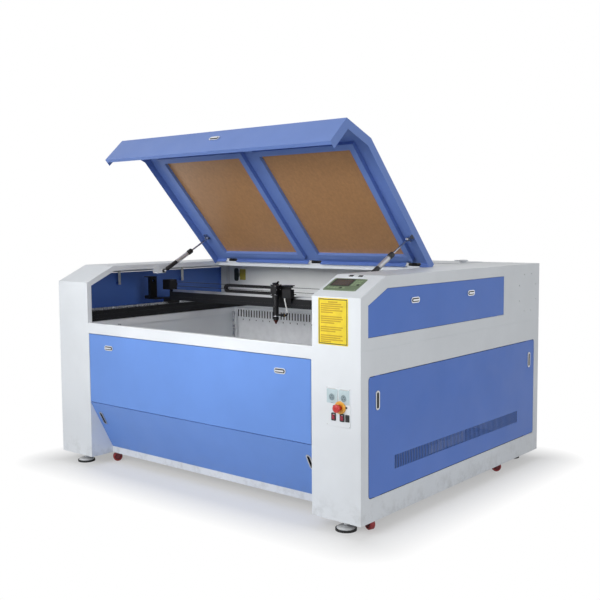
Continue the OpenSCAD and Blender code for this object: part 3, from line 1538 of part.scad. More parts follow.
module rocker(i) {
    color("red") translate([rocker_xs[i], yf - 7, rocker_z]) rotate([rocker_tilt, 0, 0])
        rotate([90, 0, 90]) translate([0, 0, -6]) linear_extrude(12)
            polygon([[1, -8.5], [-2.5, -9.5], [-1.2, 0], [-2.5, 9.5], [1, 8.5]]);
}

// ---------- nodes ----------

base_frame();
lower_cabinet();
upper_cabinet();
work_deck();
chamber_rear_wall();
exhaust_plenum();
upper_side_panels();
lower_side_panels();
lower_front_panel();
rear_panels();
control_plate();
controller();
y_rails();
fixed_motors();
drive_belts();
laser_tube();
tube_mounts();
electronics();
levelling_feet();
lid_supports();
scrap_tray();
rear_connectors();
lift_screws();
lid_skin();
lid_window_frames();
lid_windows();
lid_fittings();
lid_latch();
strut_tube(-1);  // strut_tube_left
strut_tube(1);  // strut_tube_right
strut_rod(-1);  // strut_rod_left
strut_rod(1);  // strut_rod_right
x_beam();
x_guide();
gantry_ends();
x_motor();
x_belt();
drag_chain();
carriage();
laser_head();
air_hose();
lens_tube();
table_frame();
knife_slats();
y_shaft();
stop_button();
rocker(0);  // rocker_left
rocker(1);  // rocker_right
tube_cover();
front_door();
door_latch(-latch_x);  // door_latch_left
door_latch(latch_x);  // door_latch_right
caster_fork(0);  // caster_fork_1
caster_fork(1);  // caster_fork_2
caster_fork(2);  // caster_fork_3
caster_fork(3);  // caster_fork_4
caster_wheel(0);  // caster_wheel_1
caster_wheel(1);  // caster_wheel_2
caster_wheel(2);  // caster_wheel_3
caster_wheel(3);  // caster_wheel_4
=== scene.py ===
import math

import bmesh
import bpy
from mathutils import Matrix, Vector


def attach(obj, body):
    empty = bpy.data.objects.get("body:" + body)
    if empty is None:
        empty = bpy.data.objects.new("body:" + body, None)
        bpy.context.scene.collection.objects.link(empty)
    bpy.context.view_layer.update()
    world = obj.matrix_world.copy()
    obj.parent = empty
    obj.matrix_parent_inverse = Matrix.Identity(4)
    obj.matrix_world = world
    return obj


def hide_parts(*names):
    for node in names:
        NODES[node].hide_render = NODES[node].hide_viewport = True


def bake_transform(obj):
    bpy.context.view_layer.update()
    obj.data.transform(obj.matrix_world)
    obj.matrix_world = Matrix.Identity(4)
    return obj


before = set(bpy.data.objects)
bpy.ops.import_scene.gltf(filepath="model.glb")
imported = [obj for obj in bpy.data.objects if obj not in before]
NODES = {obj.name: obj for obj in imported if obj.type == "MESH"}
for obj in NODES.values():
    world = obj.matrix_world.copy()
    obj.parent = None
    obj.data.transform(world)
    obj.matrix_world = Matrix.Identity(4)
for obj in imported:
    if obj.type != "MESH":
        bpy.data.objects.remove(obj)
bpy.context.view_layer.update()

MM = 0.001


# ---------- materials ----------

def srgb(r, g, b):
    """A colour given as 0-255 sRGB, as linear values with alpha."""
    def linear(c):
        c /= 255
        return c / 12.92 if c <= 0.04045 else ((c + 0.055) / 1.055) ** 2.4
    return (linear(r), linear(g), linear(b), 1.0)


def scaled(colour, k):
    """A colour k times as bright, held at white."""
    return tuple(min(1.0, c * k) for c in colour[:3]) + (1.0,)


class Finish:
    """A Principled material and short ways to add nodes in front of it."""

    def __init__(self, name, colour, rough=0.5, metal=0.0, **sockets):
        self.mat = bpy.data.materials.new(name)
        self.mat.use_nodes = True
        self.tree = self.mat.node_tree
        self.tree.nodes.clear()
        self.out = self.tree.nodes.new("ShaderNodeOutputMaterial")
        self.shader = self.tree.nodes.new("ShaderNodeBsdfPrincipled")
        self.link(self.shader.outputs[0], self.out.inputs[0])
        self.set("Base Color", colour)
        self.set("Roughness", rough)
        self.set("Metallic", metal)
        for key, value in sockets.items():
            self.set(key.replace("_", " "), value)
        self.mat.diffuse_color = colour
        coords = self.tree.nodes.new("ShaderNodeTexCoord")
        self.place = coords.outputs["Object"]
        self.last_bump = None

    def link(self, a, b):
        self.tree.links.new(a, b)

    def set(self, socket, value):
        """A plain value on one of the shader's own sockets."""
        self.shader.inputs[socket].default_value = value

    def node(self, kind, **inputs):
        """A new node; each input is a socket to link, a plain value, or a setting."""
        made = self.tree.nodes.new("ShaderNode" + kind)
        for key, value in inputs.items():
            if hasattr(made, key) and key not in made.inputs:
                setattr(made, key, value)
            elif isinstance(value, bpy.types.NodeSocket):
                self.link(value, made.inputs[key])
            else:
                made.inputs[key].default_value = value
        return made

    def maths(self, operation, a, b):
        """A Math node on two sockets."""
        made = self.node("Math", operation=operation)
        self.link(a, made.inputs[0])
        self.link(b, made.inputs[1])
        return made.outputs[0]

    def noise(self, scale, detail=3.0, rough=0.55, stretch=None):
        """Noise on the object's coordinates, in metres, multiplied by stretch on each axis."""
        where = self.place
        if stretch:
            where = self.node("Mapping", Vector=where, Scale=stretch).outputs[0]
        made = self.node("TexNoise", Vector=where, Scale=scale, Detail=detail, Roughness=rough)
        return made.outputs["Fac"]

    def between(self, value, low, high, out_low, out_high):
        """value from low..high carried to out_low..out_high, and held at the ends."""
        made = self.tree.nodes.new("ShaderNodeMapRange")
        self.link(value, made.inputs[0])
        for i, x in enumerate((low, high, out_low, out_high)):
            made.inputs[i + 1].default_value = x
        return made.outputs[0]

    def mixed(self, factor, a, b):
        """A colour between a and b; each is a colour or a socket."""
        made = self.tree.nodes.new("ShaderNodeMix")
        made.data_type = "RGBA"
        self.link(factor, made.inputs[0])
        for socket, value in ((made.inputs[6], a), (made.inputs[7], b)):
            if isinstance(value, bpy.types.NodeSocket):
                self.link(value, socket)
            else:
                socket.default_value = value
        return made.outputs[2]

    def colour(self, socket):
        self.link(socket, self.shader.inputs["Base Color"])

    def rough(self, socket):
        self.link(socket, self.shader.inputs["Roughness"])

    def bump(self, height, distance, strength):
        """Bump nodes follow each other, so that each adds to the one before."""
        made = self.node("Bump", Height=height, Distance=distance, Strength=strength)
        if self.last_bump:
            self.link(self.last_bump, made.inputs["Normal"])
        self.last_bump = made.outputs[0]
        self.link(self.last_bump, self.shader.inputs["Normal"])


# the darker tone that powder_coat lays in noisy patches towards the bottom
LOW_DARK_TONE = srgb(120, 118, 112)


def powder_coat(name, colour, rough, low_darkening=0.0):
    """Baked powder paint: faint mottling, orange peel, and darker patches low down."""
    f = Finish(name, colour, rough, Specular_IOR_Level=0.28)
    cloud = f.noise(3.2, 4.0)
    tone = f.mixed(f.between(cloud, 0.35, 0.65, 0.0, 1.0), scaled(colour, 0.955),
                   scaled(colour, 1.02))
    speck = f.noise(420.0, 2.0)
    tone = f.mixed(f.between(speck, 0.62, 0.75, 0.0, 0.10), tone, scaled(colour, 0.8))
    # darker in noisy patches towards the bottom
    if low_darkening:
        up = f.node("SeparateXYZ", Vector=f.place).outputs["Z"]
        low = f.between(up, 0.05, 0.16, low_darkening, 0.0)
        patch = f.between(f.noise(14.0, 6.0, 0.7), 0.48, 0.72, 0.0, 1.0)
        tone = f.mixed(f.maths("MULTIPLY", low, patch), tone, LOW_DARK_TONE)
    f.colour(tone)
    f.rough(f.between(f.noise(9.0, 5.0), 0.3, 0.7, rough - 0.05, rough + 0.07))
    f.bump(f.noise(650.0, 2.0, 0.5), 0.00012, 0.35)
    f.bump(f.noise(2.2, 1.0, 0.3), 0.0012, 0.10)
    return f.mat


def drawn_metal(name, colour, rough, along, metal=1.0, scale=260.0):
    """Extruded, brushed or drawn metal with fine lines along one axis."""
    f = Finish(name, colour, rough, metal)
    stretch = [1.0, 1.0, 1.0]
    stretch["XYZ".index(along)] = 0.012
    lines = f.noise(scale, 3.0, 0.6, stretch)
    f.colour(f.mixed(f.between(lines, 0.3, 0.7, 0.0, 1.0), scaled(colour, 0.88),
                     scaled(colour, 1.12)))
    smear = f.noise(11.0, 4.0)
    f.rough(f.between(smear, 0.3, 0.7, rough - 0.06, rough + 0.08))
    f.bump(lines, 0.00004, 0.4)
    return f.mat


def cast_metal(name, colour, rough, metal=1.0, grain=900.0, depth=0.00006):
    """Cast, machined or plated metal with no direction: soft patches and a fine grain."""
    f = Finish(name, colour, rough, metal)
    f.colour(f.mixed(f.between(f.noise(23.0, 5.0), 0.3, 0.7, 0.0, 1.0),
                     scaled(colour, 0.94), scaled(colour, 1.06)))
    f.rough(f.between(f.noise(37.0, 4.0), 0.3, 0.7, rough - 0.05, rough + 0.09))
    f.bump(f.noise(grain, 2.0), depth, 0.35)
    return f.mat


def moulded(name, colour, rough, grain=1500.0, depth=0.00005, coat=0.0, **sockets):
    """Moulded plastic with a fine spark-eroded grain."""
    f = Finish(name, colour, rough, Coat_Weight=coat, Coat_Roughness=0.12, **sockets)
    f.colour(f.mixed(f.between(f.noise(40.0, 3.0), 0.3, 0.7, 0.0, 1.0),
                     scaled(colour, 0.93), scaled(colour, 1.05)))
    f.rough(f.between(f.noise(60.0, 4.0), 0.3, 0.7, rough - 0.05, rough + 0.06))
    f.bump(f.noise(grain, 2.0), depth, 0.4)
    return f.mat


def film_covered(name, colour):
    """Amber acrylic that still wears its paper film: matt, fibrous, faintly creased."""
    f = Finish(name, colour, 0.38, Coat_Weight=0.25, Coat_Roughness=0.2)
    fibre = f.noise(70.0, 5.0, 0.65, (1.0, 0.25, 1.0))
    cloud = f.noise(3.0, 3.0)
    tone = f.mixed(f.between(fibre, 0.3, 0.7, 0.0, 1.0), scaled(colour, 0.88),
                   scaled(colour, 1.12))
    tone = f.mixed(f.between(cloud, 0.35, 0.7, 0.0, 0.35), tone, scaled(colour, 0.72))
    f.colour(tone)
    f.bump(f.noise(6.0, 2.0, 0.4), 0.0008, 0.12)
    f.bump(fibre, 0.00006, 0.3)
    return f.mat


def clear_glass(name, tint, rough=0.02):
    """Blown glass, slightly uneven and smeared."""
    f = Finish(name, tint, rough, Transmission_Weight=1.0, IOR=1.45)
    smear = f.noise(30.0, 3.0)
    f.rough(f.between(smear, 0.4, 0.8, rough, rough + 0.05))
    f.bump(f.noise(8.0, 1.0), 0.0002, 0.05)
    return f.mat


# finishes of the CAD nodes, then those of the small pieces made here
M = {
    "white": powder_coat("white_coat", srgb(229, 233, 237), 0.40, low_darkening=0.35),
    # the deck and the chamber's rear wall are the white paint made lighter: painted light inside
    # the chamber, which the open lid shades
    "deck": powder_coat("deck_painted_light_coat", srgb(234, 237, 240), 0.46),
    "wall": powder_coat("wall_painted_light_coat", srgb(238, 239, 238), 0.5),
    # one blue paint in three copies: painted light on the front and the lid, painted shade on the
    # sides
    "blue": powder_coat("blue_painted_front_light_coat", srgb(109, 150, 223), 0.38, low_darkening=0.2),
    "blue_painted_side_shade": powder_coat("blue_painted_side_shade_coat", srgb(87, 126, 208), 0.38, low_darkening=0.2),
    "blue_painted_lid_light": powder_coat("blue_painted_lid_light_coat", srgb(112, 141, 208), 0.38),
    "black_coat": powder_coat("black_coat", srgb(26, 27, 30), 0.5),
    "anodised_y": drawn_metal("anodised_along_y", srgb(22, 23, 26), 0.4, "Y", 0.4),
    "anodised_x": drawn_metal("anodised_along_x", srgb(24, 25, 28), 0.4, "X", 0.4),
    "anodised": cast_metal("anodised_machined", srgb(15, 15, 18), 0.42, 0.3),
    "aluminium": drawn_metal("aluminium_along_y", srgb(214, 217, 221), 0.45, "Y", 0.35),
    "aluminium_x": drawn_metal("aluminium_along_x", srgb(206, 208, 211), 0.34, "X"),
    "zinc": cast_metal("zinc_plate", srgb(196, 197, 198), 0.34),
    "galvanised": cast_metal("galvanised_sheet", srgb(226, 228, 230), 0.5, 0.12),
    "steel": cast_metal("ground_steel", srgb(186, 188, 192), 0.26),
    "chrome": cast_metal("chrome_plate", srgb(218, 221, 225), 0.12, grain=300.0, depth=0.00002),
    "black": moulded("black_moulding", srgb(24, 24, 26), 0.42),
    "black_gloss": moulded("black_gloss", srgb(16, 16, 18), 0.2, coat=0.4),
    "grey": moulded("grey_moulding", srgb(150, 155, 152), 0.45),
    "rubber": moulded("rubber", srgb(28, 28, 29), 0.75, grain=700.0, depth=0.0001),
    "red": moulded("red_moulding", srgb(198, 30, 26), 0.28, coat=0.35),
    "red_tread": moulded("red_tread", srgb(150, 44, 48), 0.5, grain=500.0, depth=0.0001),
    "fork_coat": powder_coat("fork_coat", srgb(116, 54, 60), 0.45),
    "dark_red": moulded("dark_red_plastic", srgb(146, 30, 56), 0.35),
    "amber": film_covered("amber_acrylic", srgb(184, 138, 94)),
    "white_hose": moulded("white_hose", srgb(228, 229, 226), 0.35, coat=0.2),
    "glass": clear_glass("tube_glass", (0.93, 0.97, 0.98, 1.0)),

    "teal": moulded("teal_cover", srgb(193, 211, 216), 0.3, coat=0.2),
    "teal_dark": moulded("teal_well", srgb(132, 150, 156), 0.4),
    "yellow": moulded("yellow_collar", srgb(236, 172, 62), 0.32, coat=0.25),
    "plate_yellow": moulded("yellow_plate", srgb(234, 208, 46), 0.42, grain=900.0),
    "mustard": moulded("mustard_print", srgb(196, 160, 30), 0.45),
    "plate_dull": moulded("dull_plate", srgb(176, 160, 66), 0.5),
    # pink for the rod in the laser's bore: a painted glow of the discharge
    "discharge": cast_metal("discharge_gas", srgb(206, 160, 190), 0.3, 0.0),
    "sage": moulded("sage_face", srgb(110, 127, 100), 0.42, grain=1100.0),
    "key": moulded("keypad", srgb(140, 158, 126), 0.4),
    "key_dark": moulded("keypad_dark", srgb(38, 44, 36), 0.4),
    "lcd": moulded("display_pane", srgb(72, 72, 74), 0.2, coat=0.5),
    "silver": drawn_metal("silver_sleeve", srgb(198, 198, 200), 0.36, "Y", 0.6),
    "copper": cast_metal("dark_copper", srgb(96, 46, 40), 0.42, 0.7),
    "maroon": powder_coat("maroon_coat", srgb(96, 44, 48), 0.45),
    "stack": drawn_metal("motor_stack", srgb(88, 90, 94), 0.45, "X", 0.6, scale=700.0),
    # near-black for holes, slots, openings, cups and the floors of recesses: painted shade
    "recess": moulded("recess_shade_black", srgb(20, 21, 24), 0.6),
    "chain": moulded("chain_nylon", srgb(13, 13, 15), 0.5, Specular_IOR_Level=0.3),
    # dark for the inside of the intake: painted shade seen through its slots
    "intake_shade": powder_coat("intake_shade_sheet", srgb(58, 54, 50), 0.7),
    "brass": cast_metal("brass_fitting", srgb(190, 158, 92), 0.3),
}

NODE_FINISH = {
    "white": "lower_cabinet upper_cabinet rear_panels lid_supports tube_cover scrap_tray "
             "control_plate",
    # painted light: lighter copies of the white paint inside the chamber
    "deck": "work_deck",
    "wall": "chamber_rear_wall",
    # the same blue paint, lighter on the front and the lid and darker on the sides: painted light
    # and painted shade
    "blue": "lower_front_panel front_door",
    "blue_painted_side_shade": "upper_side_panels lower_side_panels",
    "blue_painted_lid_light": "lid_skin lid_window_frames",
    "black_coat": "base_frame",
    "fork_coat": "caster_fork_1 caster_fork_2 caster_fork_3 caster_fork_4",
    "anodised_y": "y_rails",
    "anodised_x": "x_beam",
    "anodised": "gantry_ends carriage laser_head lens_tube tube_mounts fixed_motors x_motor",
    "aluminium": "knife_slats",
    "aluminium_x": "x_guide",
    "zinc": "table_frame electronics",
    "galvanised": "exhaust_plenum levelling_feet",
    "steel": "y_shaft lift_screws lid_fittings strut_rod_left strut_rod_right",
    "chrome": "lid_latch door_latch_left door_latch_right",
    "black": "drag_chain strut_tube_left strut_tube_right rear_connectors",
    "rubber": "drive_belts x_belt",
    "grey": "controller",
    "red": "stop_button",
    "dark_red": "rocker_left rocker_right",
    "red_tread": "caster_wheel_1 caster_wheel_2 caster_wheel_3 caster_wheel_4",
    "amber": "lid_windows",
    "white_hose": "air_hose",
    "glass": "laser_tube",
}
for key, names in NODE_FINISH.items():
    for name in names.split():
        mesh = NODES[name].data
        mesh.materials.clear()
        mesh.materials.append(M[key])


# ---------- shapes ----------

class Shape:
    """Collects solids, in millimetres, into one mesh. at() sets where the next ones go,
    and use() their finish."""

    def __init__(self, name, body, finishes, slot=None, replaces=(), bevel=0.0, smooth=40):
        self.name, self.body, self.slot = name, body, slot
        self.finishes, self.replaces = list(finishes), replaces
        self.bevel, self.smooth = bevel, smooth
        self.verts, self.faces, self.kinds = [], [], []
        self.matrix, self.kind = Matrix.Identity(4), 0

    def at(self, matrix=None):
        self.matrix = matrix or Matrix.Identity(4)
        return self

    def use(self, finish):
        self.kind = self.finishes.index(finish)
        return self

    def add(self, points, faces):
        base = len(self.verts)
        self.verts += [(self.matrix @ Vector(p)) * MM for p in points]
        self.faces += [[base + i for i in f] for f in faces]
        self.kinds += [self.kind] * len(faces)
        return self

    def prism(self, outline, z0, z1, chamfer=0.0):
        """An outline in the X-Y plane, raised from z0 to z1, its top edge cut back."""
        n = len(outline)
        rings = [(outline, z0), (outline, z1 - chamfer)]
        if chamfer:
            rings.append((inset(outline, chamfer), z1))
        points = [(x, y, z) for ring, z in rings for x, y in ring]
        faces = [list(range(n - 1, -1, -1)), [(len(rings) - 1) * n + i for i in range(n)]]
        for k in range(len(rings) - 1):
            faces += [[k * n + i, k * n + (i + 1) % n, (k + 1) * n + (i + 1) % n,
                       (k + 1) * n + i] for i in range(n)]
        return self.add(points, faces)

    def box(self, x0, x1, y0, y1, z0, z1, chamfer=0.0):
        return self.prism([(x0, y0), (x1, y0), (x1, y1), (x0, y1)], z0, z1, chamfer)

    def ring(self, outer, inner, z0, z1):
        """The wall between two outlines that have as many points."""
        n = len(outer)
        points = [(x, y, z) for z in (z0, z1) for ring in (outer, inner) for x, y in ring]
        faces = []
        for i in range(n):
            j = (i + 1) % n
            faces += [[i, j, 2 * n + j, 2 * n + i], [n + j, n + i, 3 * n + i, 3 * n + j],
                      [2 * n + i, 2 * n + j, 3 * n + j, 3 * n + i], [j, i, n + i, n + j]]
        return self.add(points, faces)

    def lathe(self, profile, n):
        """A profile of (radius, z) turned about Z. A radius of 0 closes an end."""
        points, rows, faces = [], [], []
        for r, z in profile:
            if r < 1e-9:
                rows.append([len(points)])
                points.append((0, 0, z))
            else:
                rows.append(list(range(len(points), len(points) + n)))
                points += [(r * math.cos(math.tau * i / n), r * math.sin(math.tau * i / n), z)
                           for i in range(n)]
        for a, b in zip(rows, rows[1:]):
            for i in range(n):
                j = (i + 1) % n
                if len(a) == 1:
                    faces.append([a[0], b[i], b[j]])
                elif len(b) == 1:
                    faces.append([b[0], a[i], a[j]])
                else:
                    faces.append([b[j], b[i], a[i], a[j]])
        return self.add(points, faces)

    def rod(self, r, z0, z1, n, c=0.0):
        """A round bar from z0 to z1, both its edges cut back by c."""
        if c:
            return self.lathe([(0, z0), (r - c, z0), (r, z0 + c), (r, z1 - c), (r - c, z1),
                               (0, z1)], n)
        return self.lathe([(0, z0), (r, z0), (r, z1), (0, z1)], n)

    def tube(self, path, r, n):
        """A round tube along a list of points, flat at both ends."""
        path = [Vector(p) for p in path]
        m = len(path)
        tangents = []
        for i in range(m):
            before, after = path[max(i - 1, 0)], path[min(i + 1, m - 1)]
            tangents.append((after - before).normalized())
        side = tangents[0].orthogonal().normalized()
        points, faces = [], []
        for i, t in enumerate(tangents):
            if i:
                bend = tangents[i - 1].rotation_difference(t)
                side = (bend @ side).normalized()
            other = t.cross(side)
            points += [path[i] + r * (math.cos(math.tau * k / n) * side
                                      + math.sin(math.tau * k / n) * other)
                       for k in range(n)]
        for i in range(m - 1):
            a, b = i * n, (i + 1) * n
            faces += [[a + k, a + (k + 1) % n, b + (k + 1) % n, b + k] for k in range(n)]
        faces += [list(range(n - 1, -1, -1)), [(m - 1) * n + k for k in range(n)]]
        return self.add(points, faces)

    def screw(self, r, kind):
        """A screw head on z = 0 with its socket: a straight cap, or a domed button or cross."""
        tall = {"button": 0.55, "cap": 1.0, "cross": 0.5}[kind] * r
        edge, hole = r * 0.12, r * 0.46
        if kind == "cap":
            outer = [(r, 0), (r, tall - edge), (r - edge, tall), (hole, tall)]
        else:
            outer = [(r, 0), (r, tall * 0.3), (r * 0.86, tall * 0.7), (r * 0.62, tall * 0.94),
                     (hole, tall)]
        return self.lathe(outer + [(hole, tall * 0.45), (0, tall * 0.45)], 18)

    def done(self):
        """The mesh object, cleaned, bevelled, and attached to its body's empty if it has a body.
        """
        mesh = bpy.data.meshes.new(self.name)
        mesh.from_pydata([tuple(v) for v in self.verts], [], self.faces)
        for finish in self.finishes:
            mesh.materials.append(M[finish])
        mesh.polygons.foreach_set("material_index", self.kinds)
        bm = bmesh.new()
        bm.from_mesh(mesh)
        bmesh.ops.remove_doubles(bm, verts=bm.verts, dist=1e-7)
        bmesh.ops.dissolve_degenerate(bm, edges=bm.edges, dist=1e-8)
        bmesh.ops.recalc_face_normals(bm, faces=bm.faces)
        bm.to_mesh(mesh)
        bm.free()
        piece = bpy.data.objects.new(self.name, mesh)
        bpy.context.scene.collection.objects.link(piece)
        if self.bevel:
            cut = piece.modifiers.new("edges", "BEVEL")
            cut.width, cut.segments = self.bevel * MM, 2
            cut.limit_method, cut.angle_limit = "ANGLE", math.radians(34)
            cut.use_clamp_overlap = True
        mesh.shade_smooth()
        mesh.set_sharp_from_angle(angle=math.radians(self.smooth))
        if self.body:
            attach(piece, self.body)
        if self.replaces:
            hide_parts(*self.replaces)
        return piece


def inset(outline, d):
    """A convex outline, counter-clockwise, moved inwards by d."""
    n, result = len(outline), []
    for i in range(n):
        a, b, c = (Vector(outline[k % n]) for k in (i - 1, i, i + 1))
        u, v = (b - a).normalized(), (c - b).normalized()
        n1, n2 = Vector((-u.y, u.x)), Vector((-v.y, v.x))
        mid = n1 + n2
        result.append(tuple(b + mid * (d / max(1e-6, 1 + n1.dot(n2)))))
    return result


def rounded(x0, x1, y0, y1, r):
    """A rectangle with round corners, counter-clockwise."""
    points, steps = [], 6
    for cx, cy, a in ((x1 - r, y0 + r, -90), (x1 - r, y1 - r, 0), (x0 + r, y1 - r, 90),
                      (x0 + r, y0 + r, 180)):
        points += [(cx + r * math.cos(math.radians(a + 90 * k / steps)),
                    cy + r * math.sin(math.radians(a + 90 * k / steps)))
                   for k in range(steps + 1)]
    return points


def move(x, y, z):
    return Matrix.Translation((x, y, z))


def turn(degrees, axis):
    return Matrix.Rotation(math.radians(degrees), 4, axis)


def facing(at, normal):
    """A frame at a point, with Z along a level normal, X level and Y up."""
    z = Vector(normal).normalized()
    x = Vector((0, 0, 1)).cross(z).normalized()
    return move(*at) @ Matrix((x, z.cross(x), z)).transposed().to_4x4()


# ---------- places, in millimetres ----------

HALF_WIDE, HALF_DEEP = 950.0, 768.0   # the cabinet's
FRONT = facing((0, -HALF_DEEP, 0), (0, -1, 0))
CONSOLE_SLOPE = math.degrees(math.atan2(77, 167))
CONSOLE = move(0, -HALF_DEEP, 926) @ turn(CONSOLE_SLOPE, "X")
LOWER_TOP, LOWER_RISE, LOWER_RUN = 332, 250, 131   # the sloping lower front panel
HINGE_Y, HINGE_Z, LID_OPEN = 160, 1010, 47.2
LID = move(0, HINGE_Y, HINGE_Z) @ turn(-LID_OPEN, "X") @ move(0, -HINGE_Y, -HINGE_Z)
LATCH_PROUD, LOCK_SUNK = 0.3, 0.4   # their frames' z = 0, from the front and the sides
DOOR_LATCH_X, DOOR_LATCH_Z, LID_LATCH_Z = 550, 614, 864
SIDE_LOCK_Y, SIDE_LOCK_Z = (-396, 62), 896
SIDE_PULL_Y, SIDE_PULL_Z = 659, 524
FRONT_PULL_X, FRONT_PULL_Z = 668, 248
FOOT_X, FOOT_Y = 835, 709
# x, y and the fork's angle at rest; then the wheel's place in its fork
CASTERS = ((-695, -599, 150), (894, -646, -110), (-695, 402, 40), (894, 402, -40))
CASTER_WHEEL = move(0, 16, 25)
HEAD_X, HEAD_Y, NOZZLE_Z = 65, -244.5, 727
HEAD = move(HEAD_X, HEAD_Y, 0)
NOZZLE = HEAD @ move(0, 0, NOZZLE_Z)
HEAD_PLATE = move(62, HEAD_Y, 919) @ turn(45, "Y")   # the mirror's mount
STRUT_X, STRUT_Y, STRUT_Z, STRUT_LEAN = 655, -315, 968, 27.218
WALL_Y = 450   # front of the chamber's rear wall
TUBE_AXIS = move(-725, 610, 905) @ turn(90, "Y")
STOP_X, STOP_Z, SOCKET_Z = 857, 502, 539   # on the control plate
GANTRY_MOTOR, Y_MOTOR = (-760, -211.5, 885), (185, 362, 762)   # middles of their end faces


def strut(side):
    """A frame whose Z runs from the strut's lower pivot to its upper one."""
    return (move(side * STRUT_X, STRUT_Y, STRUT_Z) @ turn(STRUT_LEAN, "X")
            @ turn(-90, "X"))


def paint(node, finish, where):
    """Another finish on the faces of a CAD node whose middle and normal pass the test."""
    thing = NODES[node]
    mesh, place = thing.data, thing.matrix_world
    spin = place.to_3x3()
    mesh.materials.append(M[finish])
    kind = len(mesh.materials) - 1
    for face in mesh.polygons:
        if where((place @ face.center) / MM, spin @ face.normal):
            face.material_index = kind


def within(frame_matrix, test):
    """A test for paint() that works in the given frame."""
    back = frame_matrix.inverted()
    spin = back.to_3x3()
    return lambda p, n: test(back @ p, spin @ n)


# ---------- second finishes on CAD nodes ----------

def paint_nodes():
    """Latches, pulls and small fittings that share a node with painted sheet."""
    def floor(q, n):
        """The floor of a latch's oval recess."""
        return abs(q.x) < 30 and abs(q.y) < 12 and 2.9 < q.z < 3.1 and n.z > 0.9

    # the floors of the latches' recesses made near-black: painted shade
    latch_face = -HALF_DEEP - LATCH_PROUD
    for side, name in ((-1, "door_latch_left"), (1, "door_latch_right")):
        place = facing((side * DOOR_LATCH_X, latch_face, DOOR_LATCH_Z), (0, -1, 0))
        paint(name, "recess", within(place, floor))
    place = LID @ facing((0, latch_face, LID_LATCH_Z), (0, -1, 0))
    paint("lid_latch", "recess", within(place, floor))
    for side in (-1, 1):
        for y in SIDE_LOCK_Y:
            # the lock's oval body, the floor of its recess in near-black painted shade, and its
            # cam behind the panel
            place = facing((side * (HALF_WIDE - LOCK_SUNK), y, SIDE_LOCK_Z), (side, 0, 0))
            paint("upper_side_panels", "chrome", within(place, lambda q, n: (
                abs(q.x) < 32 and abs(q.y) < 13 and q.z > 0.6)))
            paint("upper_side_panels", "recess", within(place, floor))
            paint("upper_side_panels", "zinc", within(place, lambda q, n: (
                abs(q.x) < 90 and abs(q.y) < 90 and -60 < q.z < -18.2)))

    # flush pulls: a pale rim round a cup darkened with painted shade
    pulls = [("lower_side_panels",
              facing((side * HALF_WIDE, y, SIDE_PULL_Z), (side, 0, 0)))
             for side in (-1, 1) for y in (-SIDE_PULL_Y, SIDE_PULL_Y)]
    lean = math.degrees(math.atan2(LOWER_RUN, LOWER_RISE))
    y = -HALF_DEEP + (LOWER_TOP - FRONT_PULL_Z) * LOWER_RUN / LOWER_RISE
    pulls += [("lower_front_panel",
               move(side * FRONT_PULL_X, y, FRONT_PULL_Z) @ turn(lean + 90, "X"))
              for side in (-1, 1)]
    for node, place in pulls:
        paint(node, "zinc", within(place, lambda q, n: (
            abs(q.x) < 13.2 and abs(q.y) < 38.2 and q.z > 0.06)))
        paint(node, "recess", within(place, lambda q, n: (
            abs(q.x) < 7.5 and abs(q.y) < 32.5 and -11.5 < q.z < 2.8 and n.z > -0.5)))

    # linear guides, hinge leaves, painted shade inside the intake, rubber soles, the nozzle's tip
    # and the casters' hubs
    paint("y_rails", "steel", lambda p, n: p.z > 779.05 and abs(abs(p.x) - 765) < 8)
    paint("lid_fittings", "black_coat",
          lambda p, n: math.hypot(p.y - HINGE_Y, p.z - HINGE_Z) < 70)
    paint("lid_supports", "black_coat", lambda p, n: 110 < p.y < 235)
    # the inside of the intake made dark: painted shade
    paint("exhaust_plenum", "intake_shade", lambda p, n: 268.5 < p.y < 377)
    paint("levelling_feet", "rubber", lambda p, n: (
        p.z < 9.1 and math.hypot(abs(p.x) - FOOT_X, abs(p.y) - FOOT_Y) > 37.5))
    paint("lens_tube", "copper", lambda p, n: (
        p.z < 745 and math.hypot(p.x - HEAD_X, p.y - HEAD_Y) < 13.5))
    for i, (x, y, a) in enumerate(CASTERS):
        wheel = move(x, y, 0) @ turn(a, "Z") @ CASTER_WHEEL
        paint(f"caster_wheel_{i + 1}", "maroon", within(wheel, lambda q, n: (
            math.hypot(q.y, q.z) < 14.9)))


# ---------- controls ----------

